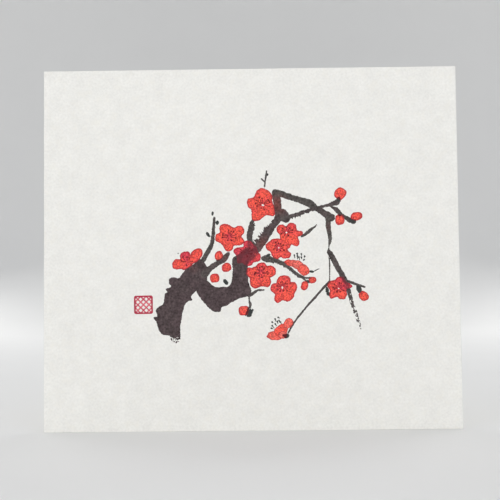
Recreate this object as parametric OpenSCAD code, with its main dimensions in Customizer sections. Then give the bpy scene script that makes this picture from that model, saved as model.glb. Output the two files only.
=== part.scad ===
// Painted art board: a plum-blossom branch in ink and colour on a stiff, paper-faced board.
//
// Five glued plies make the board. The painting lies on the front as thin dried films, one for
// each brush stroke, blossom and group of dots, with a red seal impression at the lower left.
// The picture stands upright: +X is its right, +Z its top, and the painted face looks along -Y.
// The origin is the centre of the back face.

/* [Board] */
// Width of the board, left to right
board_w = 275; // [220:1:360]
// Height of the board, bottom to top
board_h = 240; // [190:1:320]

/* [Plies] */
// Thickness of the painted face paper
face_t = 0.25; // [0.15:0.05:0.6]
// Thickness of each of the three core plies
core_t = 0.6; // [0.4:0.05:1.2]
// Thickness of the backing paper
back_t = 0.2; // [0.1:0.05:0.5]

/* [Films] */
// Thickness of the dried ink of the strokes
ink_t = 0.1; // [0.05:0.01:0.2]
// Thickness of the dried pigment of the petals and buds
petal_t = 0.1; // [0.05:0.01:0.2]
// Thickness of the fine stamen lines and anther dots
line_t = 0.1; // [0.05:0.01:0.2]
// Thickness of the seal paste
seal_t = 0.1; // [0.05:0.01:0.2]

/* [Painting] */
// Size of the whole painting against its drawn size
painting_scale = 1; // [0.8:0.05:1.25]
// How far the painting is moved right of its usual place
painting_x = 0; // [-20:1:20]
// How far the painting is moved up from its usual place
painting_z = 0; // [-20:1:20]

/* [Blossoms] */
// Distance of each petal's centre from the blossom's, as a share of the blossom's radius
petal_reach = 0.56; // [0.5:0.01:0.62]
// Radius of each petal, as a share of the blossom's radius
petal_round = 0.44; // [0.38:0.01:0.5]
// Radius of the heart that joins the petals, as a share of the blossom's radius
heart_round = 0.4; // [0.3:0.01:0.5]
// Petals in a front-view blossom
petal_count = 5; // [5:1:8]
// Stamens in a front-view blossom
stamen_count = 8; // [5:1:12]
// Width of a stamen line
stamen_w = 0.25; // [0.15:0.05:0.4]
// Radius of an anther dot
anther_r = 0.4; // [0.25:0.05:0.6]
// Where a stamen line starts, as a share of the blossom's radius
stamen_from = 0.12; // [0.05:0.01:0.2]
// Where a stamen line ends and its anther sits, as a share of the blossom's radius
stamen_to = 0.42; // [0.3:0.01:0.5]

/* [Seal] */
// Width of the seal impression
seal_w = 12.5; // [10:0.5:16]
// Height of the seal impression
seal_h = 12; // [10:0.5:16]
// Corner radius of the seal impression
seal_corner = 1.4; // [0.5:0.1:2]
// Width of the seal's border line
seal_border = 1.1; // [0.5:0.1:1.3]
// Width of the seal's trellis lines
seal_line = 0.85; // [0.4:0.05:1.2]
// Distance between two trellis lines of the seal
seal_pitch = 2.6; // [1.8:0.1:3.5]
// Distance of the seal's centre left of the painting's centre
seal_left = 71.5; // [60:0.5:80]
// Distance of the seal's centre below the painting's centre
seal_down = 36.5; // [30:0.5:60]

/* [Hidden] */
$fn = 48;

// Depths of the ply faces, measured forwards from the back face
core_y = back_t;
face_y = back_t + 3 * core_t;
front_y = face_y + face_t;
// Steps between two rows of a stroke
stroke_steps = 4;

// Outlines of the two heaviest strokes, as [x, z] corners
trunk_outline = [
    [-54, -57.5], [-58, -57], [-61.5, -54], [-63, -48], [-64.5, -45.5], [-62.5, -44], [-62.5, -39.5],
    [-58, -36.5], [-57, -30.5], [-57.5, -27.5], [-53, -25.5], [-55, -20.5], [-53, -18.5], [-47, -19],
    [-44.5, -14.5], [-39.5, -12], [-34.5, -8], [-30, -11], [-28, -14.5], [-29.5, -21.5],
    [-36.5, -28], [-40, -32], [-39.5, -34], [-44, -36.5], [-46, -43], [-47, -52],
    [-46.5, -58.5], [-48.5, -60.5], [-51, -58.5]
];
elbow_outline = [
    [-36, -24], [-36.5, -28], [-34, -32.5], [-30, -37.5], [-24, -42], [-20.5, -42], [-19.5, -38],
    [-15.5, -37.5], [-7.5, -33], [-1.5, -31.5], [-0.5, -28.5], [-2, -22], [-2.5, -14], [1, -5],
    [-8.5, -5], [-12.5, -11], [-13, -21.5], [-15.5, -25], [-24, -25.5], [-29.5, -21.5]
];

// Spines of the strokes, as rows of [x, z, half width]
bough_rows = [[-7, -10, 4.5], [-3, -6, 4.5], [4, 0.5, 3.8], [11.5, 8.5, 2.9], [17, 16, 2.4], [19.5, 20, 2.4]];
crook_rows = [[20, 19, 2.4], [18, 27, 2.5], [16.7, 35, 2.6]];
arm_rows = [[15.2, 36.5, 1.8], [19, 36.2, 2.2], [28, 33.2, 2.1], [38.5, 29.3, 2.4], [44, 24.8, 1.6]];
brace_rows = [[21, 19.5, 1.3], [26, 20.3, 1.3], [32.5, 21.8, 1.1], [42, 25.3, 1.2]];
knot_rows = [[43, 26, 1.5], [48, 23.5, 2], [51, 21, 2.5], [54.5, 20.5, 2]];
upper_fork_rows = [[45.5, 25.5, 1.2], [50, 27.5, 0.8], [54, 29, 1.4], [58.5, 29, 1.5]];
lower_fork_rows = [[52.5, 27, 0.7], [56, 25.5, 1.2], [61, 22.5, 1], [64.5, 19, 1.2], [68, 17.3, 1.3]];
shoot_rows = [[51, 20, 1.6], [51.3, 12, 1.3], [51.8, 5, 0.8], [51.5, -1, 0.8]];
branch_rows = [[50.8, -2, 1.4], [56, -11, 1.8], [61, -21, 1.7], [65, -31, 1.4], [69, -46, 0.8], [71.5, -54, 0.3]];
thread_rows = [[51.4, -5.5, 0.3], [51.2, -14, 0.3], [51.4, -23.5, 0.4]];
trailing_rows = [[51.5, -23, 0.8], [44.5, -30, 0.7], [38, -37.5, 0.7], [30.5, -46.5, 0.6], [24, -56, 0.5]];
spur_rows = [[61, -22.5, 1], [66, -23.5, 1], [74.5, -26.5, 0.9]];
short_rows = [[1.5, 20, 1.4], [0.5, 14, 2.2], [-1, 6, 2], [-1.5, 2, 1.6]];
left_rows = [[-31.5, -8, 1.8], [-28, -1, 1.9], [-26, 4, 1.6], [-25.4, 12, 1.3], [-24.2, 21, 0.6]];
trunk_spur_rows = [[-31, -16, 2.6], [-24, -11.5, 1.8], [-18.5, -8.5, 1.8], [-15.5, -4.5, 1.2]];
middle_rows = [[7, -6.5, 1.2], [12.5, -7.5, 1.7], [21.5, -11, 1.2], [28, -15.5, 0.9], [37, -21, 0.7]];
right_rows = [[33, 7, 0.9], [37.5, 9.5, 1.2], [44, 14.5, 0.4]];
top_rows = [[9.5, 38, 0.5], [9.8, 44, 0.5], [10.6, 51, 0.5]];
top_tick_rows = [[7.5, 45.5, 0.4], [9.8, 43, 0.4]];
low_twig_rows = [[-2.5, -32.5, 0.9], [3.5, -28, 0.8], [8.5, -27.5, 0.5]];
low_shoot_rows = [[-1.6, -31, 0.5], [-1.6, -35, 0.5], [-0.8, -39, 1]];

// Single dots and dabs, as rows of [x, z, radius]
moss_at = [
    [-17.5, -22.5, 1.6], [-18.5, -21, 1.3], [-25.5, 23.8, 0.7], [-22, 17, 1], [-29, 10, 0.8],
    [-28, 8.6, 0.9], [49.2, -29.5, 1.4], [49.5, -31.5, 1.3], [40, -16.5, 0.9], [11.6, 48.8, 0.7]
];
calyx_at = [
    [59, 31.2, 1.8], [68, 17.8, 1.5], [71.5, -28.8, 1.7], [-1.3, -43, 2], [-1.8, -41, 1.7],
    [22.5, -58.3, 2], [24, -57.8, 1.6], [37.5, -22, 0.8]
];
bud_at = [
    [59.5, 35.3, 3.7], [70.2, 20, 2.9], [59, 18.2, 2.9], [74, -32.5, 2.7], [-21.5, -4.5, 2.7],
    [-16.5, -12.5, 2.9], [-24, -19.5, 3], [35.5, -24.7, 2.6], [40.3, -21.5, 2.1], [-5.3, -41.3, 3.2]
];

// Front-view blossoms, as rows of [x, z, radius, turn of the first petal]
blossom_at = [
    [8, 28.5, 10, 8], [-14, 8, 9.2, 20], [25, 9.4, 8.6, 0], [17.3, 0.5, 8.6, 30], [-1.5, -2.5, 8.5, 16],
    [6.5, -17.7, 9.4, 4], [21.3, -27.5, 9.2, -6], [57.3, -27, 7.5, 12]
];
// The blossom seen at a slant, each lobe a row of [x, z, radius], and its heart as the rows above
slant_at = [[-47.5, -10.8, 4.2], [-42.5, -6, 4.3], [-35, -5, 4.3], [-41.5, -10.5, 4.3], [-36.5, -8.5, 3.8]];
slant_heart = [-41, -8.5, 6.5, 38];
// Side-view blossoms, each lobe a row of [x, z, radius]
side_upper_at = [[24.5, -9.5, 2.3], [28, -10.5, 3], [31.5, -13, 3.6], [35, -16.5, 3.3]];
side_lower_at = [[12.8, -57.6, 2.8], [16.5, -58, 3.2], [19.5, -55.5, 3.3], [22.5, -52, 3], [24.5, -50, 2.4]];
// Stamens that stand clear of the side-view blossoms, as [[x, z], [x, z]] from root to tip
side_stamens_at = [
    [[27.5, -6.5], [26.5, -3.5]], [[29.5, -6.5], [28.8, -2.5]], [[31.5, -7.5], [31.5, -3.5]],
    [[33, -9], [34.5, -5]], [[34.5, -10.5], [36.5, -7.5]],
    [[14, -53.5], [12.5, -51.8]], [[15.5, -52.8], [14, -49.5]], [[17, -51.5], [16, -47.5]],
    [[18.5, -50.5], [18, -46.5]], [[19.8, -49], [20, -45.5]]
];

lobes_at = concat(slant_at, side_upper_at, side_lower_at);

// A point on the smooth curve through b and c, at the share t of the way
function along(a, b, c, d, t) =
    0.5 * (2 * b + (c - a) * t + (2 * a - 5 * b + 4 * c - d) * t * t + (3 * b - a - 3 * c + d) * t * t * t);

// The rows of a stroke with smooth rows put in between
function smooth(rows) = let (last = len(rows) - 1) [
    for (i = [0 : last - 1], j = [0 : stroke_steps - 1])
        along(rows[max(i - 1, 0)], rows[i], rows[i + 1], rows[min(i + 2, last)], j / stroke_steps),
    rows[last]
];

// The unit vector square to the stroke at row i, to its left
function square_to(rows, i) = let (
    d = rows[min(i + 1, len(rows) - 1)] - rows[max(i - 1, 0)],
    n = norm([d[0], d[1]])
) [-d[1] / n, d[0] / n];

// One edge of a stroke: hand is 1 for the left edge and -1 for the right
function edge(rows, hand) = [
    for (i = [0 : len(rows) - 1]) [rows[i][0], rows[i][1]] + hand * rows[i][2] * square_to(rows, i)
];
function reversed(list) = [for (i = [len(list) - 1 : -1 : 0]) list[i]];

// Whether any of the points lies within the distance of a place
function near(points, place, distance) =
    min([for (p = points) norm([p[0] - place[0], p[1] - place[1]])]) < distance;

// One ply, its back face at the depth y
module ply(y, t) translate([-board_w / 2, -(y + t), -board_h / 2]) cube([board_w, t, board_h]);

// A film of thickness t that stands on the paper, or on another film at the height lift
module film(t, lift = 0) translate([painting_x, -(front_y + lift), painting_z]) rotate([90, 0, 0])
    linear_extrude(t) scale(painting_scale) children();

module stroke(rows) {
    fine = smooth(rows);
    polygon(concat(edge(fine, 1), reversed(edge(fine, -1))));
}

module dots(places) for (p = places) translate([p[0], p[1]]) circle(r = p[2]);

module blossom_outline(i) {
    b = blossom_at[i];
    translate([b[0], b[1]]) rotate(b[3]) {
        circle(r = b[2] * heart_round);
        for (k = [0 : petal_count - 1]) rotate(360 / petal_count * k)
            translate([0, b[2] * petal_reach]) circle(r = b[2] * petal_round);
    }
}

// The blossoms from number `from` on that come near the points, which were painted over them
module blossoms_over(points, from = 0) for (i = [from : len(blossom_at) - 1])
    if (near(points, blossom_at[i], blossom_at[i][2] + 9)) blossom_outline(i);

// The dots that come near the points
module dots_near(places, points) dots([for (p = places) if (near(points, p, p[2] + 9)) p]);

// What was painted after the ink: the blossoms and the buds
module petals_over(points) {
    blossoms_over(points);
    dots_near(concat(bud_at, lobes_at), points);
}

// An ink stroke without what crosses it: the petals, the dark dabs and the strokes given as children
module ink_film(points) color([0.32, 0.27, 0.27]) film(ink_t) difference() {
    children(0);
    petals_over(points);
    dots_near(concat(moss_at, calyx_at), points);
    if ($children > 1) children([1 : $children - 1]);
}
module ink_stroke(rows) ink_film(smooth(rows)) { stroke(rows); children(); }

module back_paper() color([0.9, 0.88, 0.84]) ply(0, back_t);
module core_ply_rear() color([0.74, 0.72, 0.68]) ply(core_y, core_t);
module core_ply_middle() color([0.71, 0.69, 0.65]) ply(core_y + core_t, core_t);
module core_ply_front() color([0.74, 0.72, 0.68]) ply(core_y + 2 * core_t, core_t);
module face_paper() color([0.93, 0.925, 0.91]) ply(face_y, face_t);

module trunk_stroke() ink_film(trunk_outline) polygon(trunk_outline);
module elbow_stroke() ink_film(elbow_outline) { polygon(elbow_outline); polygon(trunk_outline); }
module bough_stroke() ink_stroke(bough_rows) { polygon(elbow_outline); knob(); }
module knob() translate([20.8, 20.6]) circle(r = 3.7);
module bough_knob() ink_film([[20.8, 20.6]]) knob();
module crook_stroke() ink_stroke(crook_rows) { knob(); stroke(bough_rows); }
module arm_stroke() ink_stroke(arm_rows) stroke(crook_rows);
module brace_stroke() ink_stroke(brace_rows) { knob(); stroke(crook_rows); stroke(bough_rows); stroke(arm_rows); }
module fork_knot() ink_stroke(knot_rows) { stroke(arm_rows); stroke(brace_rows); }
module upper_fork() ink_stroke(upper_fork_rows) { stroke(knot_rows); stroke(arm_rows); stroke(brace_rows); }
module lower_fork() ink_stroke(lower_fork_rows) { stroke(knot_rows); stroke(upper_fork_rows); }
module hanging_shoot() ink_stroke(shoot_rows) { stroke(knot_rows); stroke(branch_rows); }
module hanging_branch() ink_stroke(branch_rows);
module hanging_thread() ink_stroke(thread_rows) { stroke(branch_rows); stroke(trailing_rows); }
module trailing_twig() ink_stroke(trailing_rows);
module bud_spur() ink_stroke(spur_rows) stroke(branch_rows);
module short_branch() ink_stroke(short_rows) { stroke(bough_rows); polygon(elbow_outline); }
module left_twig() ink_stroke(left_rows) polygon(trunk_outline);
module trunk_spur() ink_stroke(trunk_spur_rows) { polygon(trunk_outline); polygon(elbow_outline); }
module middle_twig() ink_stroke(middle_rows);
module right_twig() ink_stroke(right_rows);
module top_twig() ink_film(concat(top_rows, top_tick_rows)) union() { stroke(top_rows); stroke(top_tick_rows); }
module low_twigs() ink_film(concat(low_twig_rows, low_shoot_rows)) {
    union() { stroke(low_twig_rows); stroke(low_shoot_rows); }
    polygon(elbow_outline);
}

// Dark dabs: moss dots on the twigs, and the calyxes that hold the buds
module dab_film(places) color([0.2, 0.22, 0.21]) film(ink_t) difference() { dots(places); petals_over(places); }
module moss_dots() dab_film(moss_at);
module calyx_dabs() dab_film(calyx_at);

// A blossom without what was painted over it: the later blossoms, the buds and the side-view lobes
module blossom(i) color([0.92, 0.32, 0.26]) film(petal_t) difference() {
    blossom_outline(i);
    blossoms_over([blossom_at[i]], i + 1);
    dots_near(concat(bud_at, lobes_at), [blossom_at[i]]);
}
module lobed_blossom(lobes) color([0.95, 0.4, 0.28]) film(petal_t) difference() {
    dots(lobes);
    dots_near(bud_at, lobes);
}
module blossom_01() blossom(0);
module blossom_02() blossom(1);
module blossom_03() blossom(2);
module blossom_04() blossom(3);
module blossom_05() blossom(4);
module blossom_06() blossom(5);
module blossom_07() blossom(6);
module blossom_08() blossom(7);
module slant_blossom() lobed_blossom(slant_at);
module side_blossom_upper() lobed_blossom(side_upper_at);
module side_blossom_lower() lobed_blossom(side_lower_at);
module buds() color([0.92, 0.3, 0.26]) film(petal_t) dots(bud_at);

// Places each stamen that lies on petals, with +Y along the stamen and $r as the blossom's radius
module each_stamen() for (b = concat(blossom_at, [slant_heart]), k = [0 : stamen_count - 1])
    translate([b[0], b[1]]) rotate(b[3] + 360 / stamen_count * k) let ($r = b[2]) children();

module stamens() color([0.35, 0.08, 0.1]) film(line_t, petal_t) each_stamen()
    translate([-stamen_w / 2, $r * stamen_from]) square([stamen_w, $r * (stamen_to - stamen_from) - anther_r]);
module anthers() color([0.2, 0.08, 0.08]) film(line_t, petal_t) each_stamen()
    translate([0, $r * stamen_to]) circle(r = anther_r);
module side_stamens() color([0.25, 0.27, 0.27]) film(line_t) for (s = side_stamens_at) {
    run = s[1] - s[0];
    translate(s[0]) rotate(atan2(run[1], run[0])) translate([0, -stamen_w / 2]) square([norm(run), stamen_w]);
    translate(s[1]) circle(r = anther_r);
}

// The seal: a rounded border around a plain diagonal trellis, with no lettering
module seal_block(inset) {
    r = seal_corner;
    w = seal_w - 2 * inset;
    h = seal_h - 2 * inset;
    for (x = [r - w / 2, w / 2 - r], y = [r - h / 2, h / 2 - r]) translate([x, y]) circle(r = r);
    square([w - 2 * r, h], center = true);
    square([w, h - 2 * r], center = true);
}
module seal_trellis() {
    lines = ceil((seal_w + seal_h) / (2 * sqrt(2) * seal_pitch));
    for (turn = [45, -45], k = [-lines : lines]) rotate(turn)
        translate([0, k * seal_pitch]) square([2 * (seal_w + seal_h), seal_line], center = true);
}
module seal_impression() color([0.7, 0.13, 0.26]) film(seal_t) translate([-seal_left, -seal_down]) {
    difference() { seal_block(0); seal_block(seal_border); }
    intersection() { seal_block(seal_border / 2); seal_trellis(); }
}

back_paper();
core_ply_rear();
core_ply_middle();
core_ply_front();
face_paper();
trunk_stroke();
elbow_stroke();
bough_stroke();
bough_knob();
crook_stroke();
arm_stroke();
brace_stroke();
fork_knot();
upper_fork();
lower_fork();
hanging_shoot();
hanging_branch();
hanging_thread();
trailing_twig();
bud_spur();
short_branch();
left_twig();
trunk_spur();
middle_twig();
right_twig();
top_twig();
low_twigs();
moss_dots();
calyx_dabs();
blossom_01();
blossom_02();
blossom_03();
blossom_04();
blossom_05();
blossom_06();
blossom_07();
blossom_08();
slant_blossom();
side_blossom_upper();
side_blossom_lower();
buds();
stamens();
anthers();
side_stamens();
seal_impression();
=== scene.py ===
import math

import bpy
import numpy as np
from bpy.props import FloatProperty, FloatVectorProperty, IntProperty, PointerProperty
from mathutils import Matrix, Vector


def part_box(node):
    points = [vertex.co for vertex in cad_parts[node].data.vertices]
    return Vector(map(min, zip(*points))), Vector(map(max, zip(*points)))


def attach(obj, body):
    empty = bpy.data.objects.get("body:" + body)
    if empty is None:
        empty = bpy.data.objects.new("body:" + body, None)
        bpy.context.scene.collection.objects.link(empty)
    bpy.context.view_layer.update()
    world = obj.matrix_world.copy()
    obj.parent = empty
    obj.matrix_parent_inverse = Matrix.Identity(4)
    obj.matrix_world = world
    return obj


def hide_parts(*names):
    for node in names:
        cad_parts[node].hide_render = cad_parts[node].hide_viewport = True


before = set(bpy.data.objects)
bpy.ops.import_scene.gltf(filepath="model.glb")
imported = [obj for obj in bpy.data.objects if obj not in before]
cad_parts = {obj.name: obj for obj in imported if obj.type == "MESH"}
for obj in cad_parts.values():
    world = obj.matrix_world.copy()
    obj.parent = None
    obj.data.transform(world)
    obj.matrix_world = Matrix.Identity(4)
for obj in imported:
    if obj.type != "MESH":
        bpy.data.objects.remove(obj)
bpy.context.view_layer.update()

bl_info = {
    "name": "Painted Art Board",
    "version": (1, 0, 0),
    "blender": (4, 5, 0),
    "location": "View3D > Sidebar > Art Board",
    "description": "Builds a paper-faced board with a brushed plum branch, ply by ply and stroke by stroke",
    "category": "Add Mesh",
}

MM = 0.001
FACE_LOW, FACE_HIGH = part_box("face_paper")
FRONT_Y = FACE_LOW.y
CENTRE_X = (FACE_LOW.x + FACE_HIGH.x) / 2
CENTRE_Z = (FACE_LOW.z + FACE_HIGH.z) / 2
UNDER_PLIES = ("back_paper", "core_ply_rear", "core_ply_middle", "core_ply_front")


def shade(red, green, blue):
    """A colour given as it looks on a screen, 0 to 255, in the linear values that shaders use."""
    return tuple(c / 12.92 if c <= 0.04045 else ((c + 0.055) / 1.055) ** 2.4
                 for c in (red / 255, green / 255, blue / 255))


# ---------------------------------------------------------------------------------------------
# The drawing. Places and sizes are in millimetres from the centre of the painted face: x runs to
# the right and z up. It is one list for each brush stroke, blossom and dab.
# ---------------------------------------------------------------------------------------------

# Outlines of the two heaviest strokes, which were pushed and turned rather than drawn along
TRUNK = [
    (-52.6, -59.4), (-54.6, -56.9), (-58.5, -56.6), (-61.5, -53.5), (-62.6, -49), (-64.8, -45.3),
    (-62.6, -44.2), (-63.4, -40.5), (-61.5, -38.2), (-58.3, -36.2), (-57.8, -33), (-57.4, -29.5),
    (-55.8, -28.4), (-56.8, -26.4), (-53.2, -25), (-54.6, -22.8), (-54.4, -20), (-52, -18.8), (-48, -19.4),
    (-45.6, -16), (-43.2, -13.4), (-39.5, -11), (-35.5, -8), (-33.5, -7), (-30.5, -10), (-28.8, -13.8),
    (-29, -18), (-29.5, -21.5), (-31.5, -25), (-36.6, -27.8), (-40, -31.6), (-39.2, -34), (-41.5, -34.6),
    (-43.8, -36.6), (-45.4, -41), (-46.4, -47), (-47.4, -51.5), (-47.2, -55), (-48, -59), (-50, -60.8),
]
ELBOW = [
    (-38, -22), (-36.6, -28.2), (-34.2, -32), (-30.4, -37), (-26, -41), (-23.6, -42), (-20.4, -41.6),
    (-19.8, -38.6), (-16.5, -37.8), (-12.5, -35.4), (-7.6, -33), (-2.2, -31.8), (-0.6, -30), (-0.4, -27.5),
    (-1.6, -23.5), (-2.2, -18), (-2.2, -12), (0, -7.5), (2, -3), (-1, 1), (-5.5, -1), (-9.5, -4.5),
    (-12.6, -7.6), (-12.4, -14), (-12.8, -20.5), (-15, -25), (-19, -25.4), (-23.8, -25.4), (-27.5, -22.8),
    (-31, -20.5),
]

# The other ink strokes. Each row of a spine is x, z, half width and how dry the brush was, 0 to 1.
# side says which edge ran dry, 1 for the left one and -1 for the right one, or 0 for both.
# cool goes from 0 for the warm plum-brown ink to 1 for grey-black.
STROKES = {
    "bough_stroke": {"side": 1, "cool": 0.2, "rows": [
        (-6.5, -8, 4.6, 0), (-2.5, -5, 4.6, 0), (3.2, 1.2, 4.4, 0.6), (9.2, 9, 3.9, 1), (13.7, 15, 3.2, 1),
        (17.6, 19.4, 2.8, 0.7)]},
    "bough_knob": {"side": 0, "cool": 0.1, "rows": [
        (19, 20.8, 3.2, 0), (21.2, 21.6, 3.9, 0), (23.4, 19.2, 2.7, 0)]},
    "crook_stroke": {"side": 0, "cool": 0.35, "rows": [
        (19.4, 20, 2.5, 0), (18.2, 25, 2.6, 0), (17.5, 31, 2.7, 0), (17, 36, 2.7, 0)]},
    "arm_stroke": {"side": 0, "cool": 0.9, "rows": [
        (16.6, 36.6, 2.4, 0), (19.5, 36, 2.2, 0), (27, 33.4, 2, 0), (33, 31.4, 2.1, 0),
        (38.4, 29.6, 2.5, 0), (41.2, 27.6, 2.3, 0), (44.6, 24.8, 1.5, 0)]},
    "brace_stroke": {"side": -1, "cool": 0.5, "rows": [
        (21, 19, 1.6, 0), (26, 20.3, 1.7, 0.5), (32, 21.8, 1.8, 1), (37.5, 23.8, 1.7, 1),
        (43.2, 26, 1.5, 0.4)]},
    "fork_knot": {"side": 0, "cool": 0.55, "rows": [
        (42.5, 25.8, 1.3, 0), (45.8, 24.6, 1.9, 0), (48.4, 22.8, 2.2, 0), (51.2, 20.9, 2.6, 0),
        (53.2, 19.6, 2.6, 0)]},
    "upper_fork": {"side": 0, "cool": 0.6, "rows": [
        (43.5, 25.4, 1.3, 0), (46.6, 26.8, 1.1, 0), (49, 27.4, 0.8, 0.3), (51.4, 27.8, 1.1, 0.1),
        (54, 28.8, 1.5, 0), (56.6, 29.6, 1.8, 0), (58.2, 31, 1.5, 0)]},
    "lower_fork": {"side": 0, "cool": 0.6, "rows": [
        (52.8, 27.2, 0.7, 0.2), (55, 26, 1, 0), (57.2, 24.4, 1.5, 0), (60.4, 21.4, 1.1, 0),
        (63.6, 19.2, 1.3, 0), (66, 17.6, 1.6, 0), (68, 17, 1.7, 0)]},
    "hanging_shoot": {"side": 0, "cool": 1.3, "rows": [
        (51.2, 19, 1.8, 0), (51.3, 14.5, 1.6, 0), (52, 9, 1.4, 0), (52.3, 5, 1.1, 0.1),
        (51.7, 1.6, 0.6, 0.2), (51.3, -1.6, 0.5, 0.15)]},
    "hanging_branch": {"side": 0, "cool": 0.5, "rows": [
        (51.6, -3, 1.4, 0), (53, -5.4, 1.9, 0), (56, -11.4, 1.9, 0), (59, -16.8, 1.8, 0),
        (62, -22.6, 1.6, 0), (64.4, -30, 1.3, 0.15), (66.4, -37.4, 1.2, 0.4), (68.3, -43.4, 1.2, 0.6),
        (69.8, -48, 1, 0.7), (71.8, -53.8, 0.5, 0.82)]},
    "hanging_thread": {"side": 0, "cool": 0.6, "rows": [
        (51.5, -4, 0.45, 0.2), (51.8, -12, 0.42, 0.3), (51.7, -18, 0.45, 0.25), (51.6, -23.4, 0.5, 0)]},
    "trailing_twig": {"side": 0, "cool": 0.6, "rows": [
        (51.4, -23, 0.9, 0), (47, -27.3, 0.8, 0), (42, -32.9, 0.75, 0), (37, -38.3, 0.75, 0),
        (30.6, -45.9, 0.65, 0), (26.2, -52.2, 0.55, 0), (24, -56.2, 0.6, 0)]},
    "bud_spur": {"side": 0, "cool": 0.7, "rows": [
        (61.6, -22, 0.9, 0), (64.6, -23, 0.9, 0), (69.6, -24.8, 0.85, 0), (74.4, -26.4, 0.8, 0)]},
    "short_branch": {"side": 1, "cool": 0.6, "rows": [
        (1.4, 18.8, 0.6, 0), (1.2, 16, 2.1, 0.5), (0.3, 12.4, 2.1, 0.4), (-0.8, 8.4, 2, 0.1),
        (-0.8, 5, 1.6, 0), (-1, 2, 1.6, 0)]},
    "left_twig": {"side": 0, "cool": 0.7, "rows": [
        (-31.6, -7.4, 1.6, 0), (-29.6, -3.6, 1.6, 0), (-27.2, 0.4, 1.5, 0), (-25.5, 4.6, 1.35, 0),
        (-25, 10, 1.2, 0), (-24.5, 15.6, 1, 0), (-24.1, 20.6, 0.7, 0.1)]},
    "trunk_spur": {"side": 0, "cool": 0.5, "rows": [
        (-31, -17, 2.6, 0), (-27, -13, 1.9, 0), (-22, -9.8, 1.7, 0), (-17.8, -6.8, 2, 0),
        (-15.2, -3.8, 1.3, 0)]},
    "middle_twig": {"side": -1, "cool": 0.8, "rows": [
        (8.4, -6.8, 1.7, 0), (10.8, -7.2, 2.3, 0), (16, -8.7, 1.9, 0.4), (22, -11.7, 1.6, 0.8),
        (27.6, -15.9, 1.4, 0.8), (31.6, -18.8, 1.3, 0.2), (35.4, -20, 0.8, 0), (38.6, -20, 0.6, 0)]},
    "right_twig": {"side": 0, "cool": 0.75, "rows": [
        (33.6, 7.4, 0.8, 0), (35.4, 8.4, 0.9, 0), (38.2, 10.4, 1.1, 0.1), (40.8, 12.6, 0.8, 0.2),
        (43.6, 14.6, 0.7, 0.3)]},
}
# Strokes drawn in several touches: each touch is a spine of its own
TOUCHES = {
    "top_twig": {"side": 0, "cool": 0.85, "touches": [
        [(9.4, 40.8, 0.5, 0.1), (9.8, 44, 0.45, 0.1), (10.4, 47.6, 0.6, 0.1), (10.8, 51.2, 0.45, 0.1)],
        [(7.4, 46, 0.4, 0), (8.6, 44.8, 0.5, 0), (9.8, 43.6, 0.4, 0)]]},
    "low_twigs": {"side": 0, "cool": 0.7, "touches": [
        [(-1.8, -32, 0.8, 0), (1, -30, 1, 0), (3.6, -28.2, 0.7, 0), (6, -27.8, 0.8, 0),
        (8.4, -27.8, 0.5, 0.1)],
        [(-1.4, -31, 0.6, 0), (-1.6, -34.4, 0.5, 0.1), (-0.9, -36.8, 1, 0), (-1.2, -39.4, 0.6, 0)],
        [(33, -19.6, 0.6, 0), (35.6, -21.6, 0.55, 0), (38, -23.4, 0.45, 0)]]},
}
# Single dark dabs: x, z, half length, half width and the angle that the dab leans
MOSS = [
    (-17, -22.2, 2.4, 1.3, -52), (-25.3, 23.4, 1.5, 0.8, 80), (-22.3, 17.2, 1.4, 1.1, 80),
    (-28.5, 9.4, 1.7, 0.9, -62), (-27.5, 8.2, 0.8, 0.6, 0), (49.9, -28.2, 2.4, 1.1, -82),
    (50.6, -30.8, 1.5, 1.1, -70), (39.8, -16, 1.6, 0.8, -8), (43, -15, 2.2, 0.35, 25),
    (11.3, 48.7, 0.9, 0.8, 60), (-48.3, -3, 0.45, 0.4, 0), (11.2, -5, 1.9, 0.9, 32),
]
CALYXES = [
    (58.4, 32, 2.2, 1.4, 75), (60, 33.4, 1.1, 0.4, 60), (67.2, 17.2, 2, 1.5, -10), (68, 19.4, 1.3, 0.5, 60),
    (71, -28, 2.6, 1.7, -68), (70.4, -26.4, 1.4, 1.4, 0), (-3.2, -42.4, 2.6, 0.9, 66),
    (-1.8, -42.8, 3, 1, 66), (-0.4, -42.6, 2.7, 0.9, 66), (-1.8, -44.6, 1.9, 0.9, 10),
    (-1.2, -41.4, 2.2, 0.7, 8), (-2.4, -40.3, 1.6, 0.8, 62), (0.4, -41.6, 1.2, 0.6, 62),
    (22.6, -58.2, 2.1, 1.7, 10), (21, -57.8, 1.2, 1.2, 60), (37.6, -22.2, 1, 0.6, -40),
    (58.9, 21, 1.5, 0.9, 0), (-21.6, -7.7, 1.8, 0.8, 8),
]

# Where red pigment ran into the ink: x, z, radius and strength
BLUSHES = [(17.4, 29, 10, 0.7), (8, 3, 8, 0.45), (-16, -7, 5, 0.3), (-38, -13, 5, 0.15), (51.6, 14, 6, 0.2)]

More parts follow.
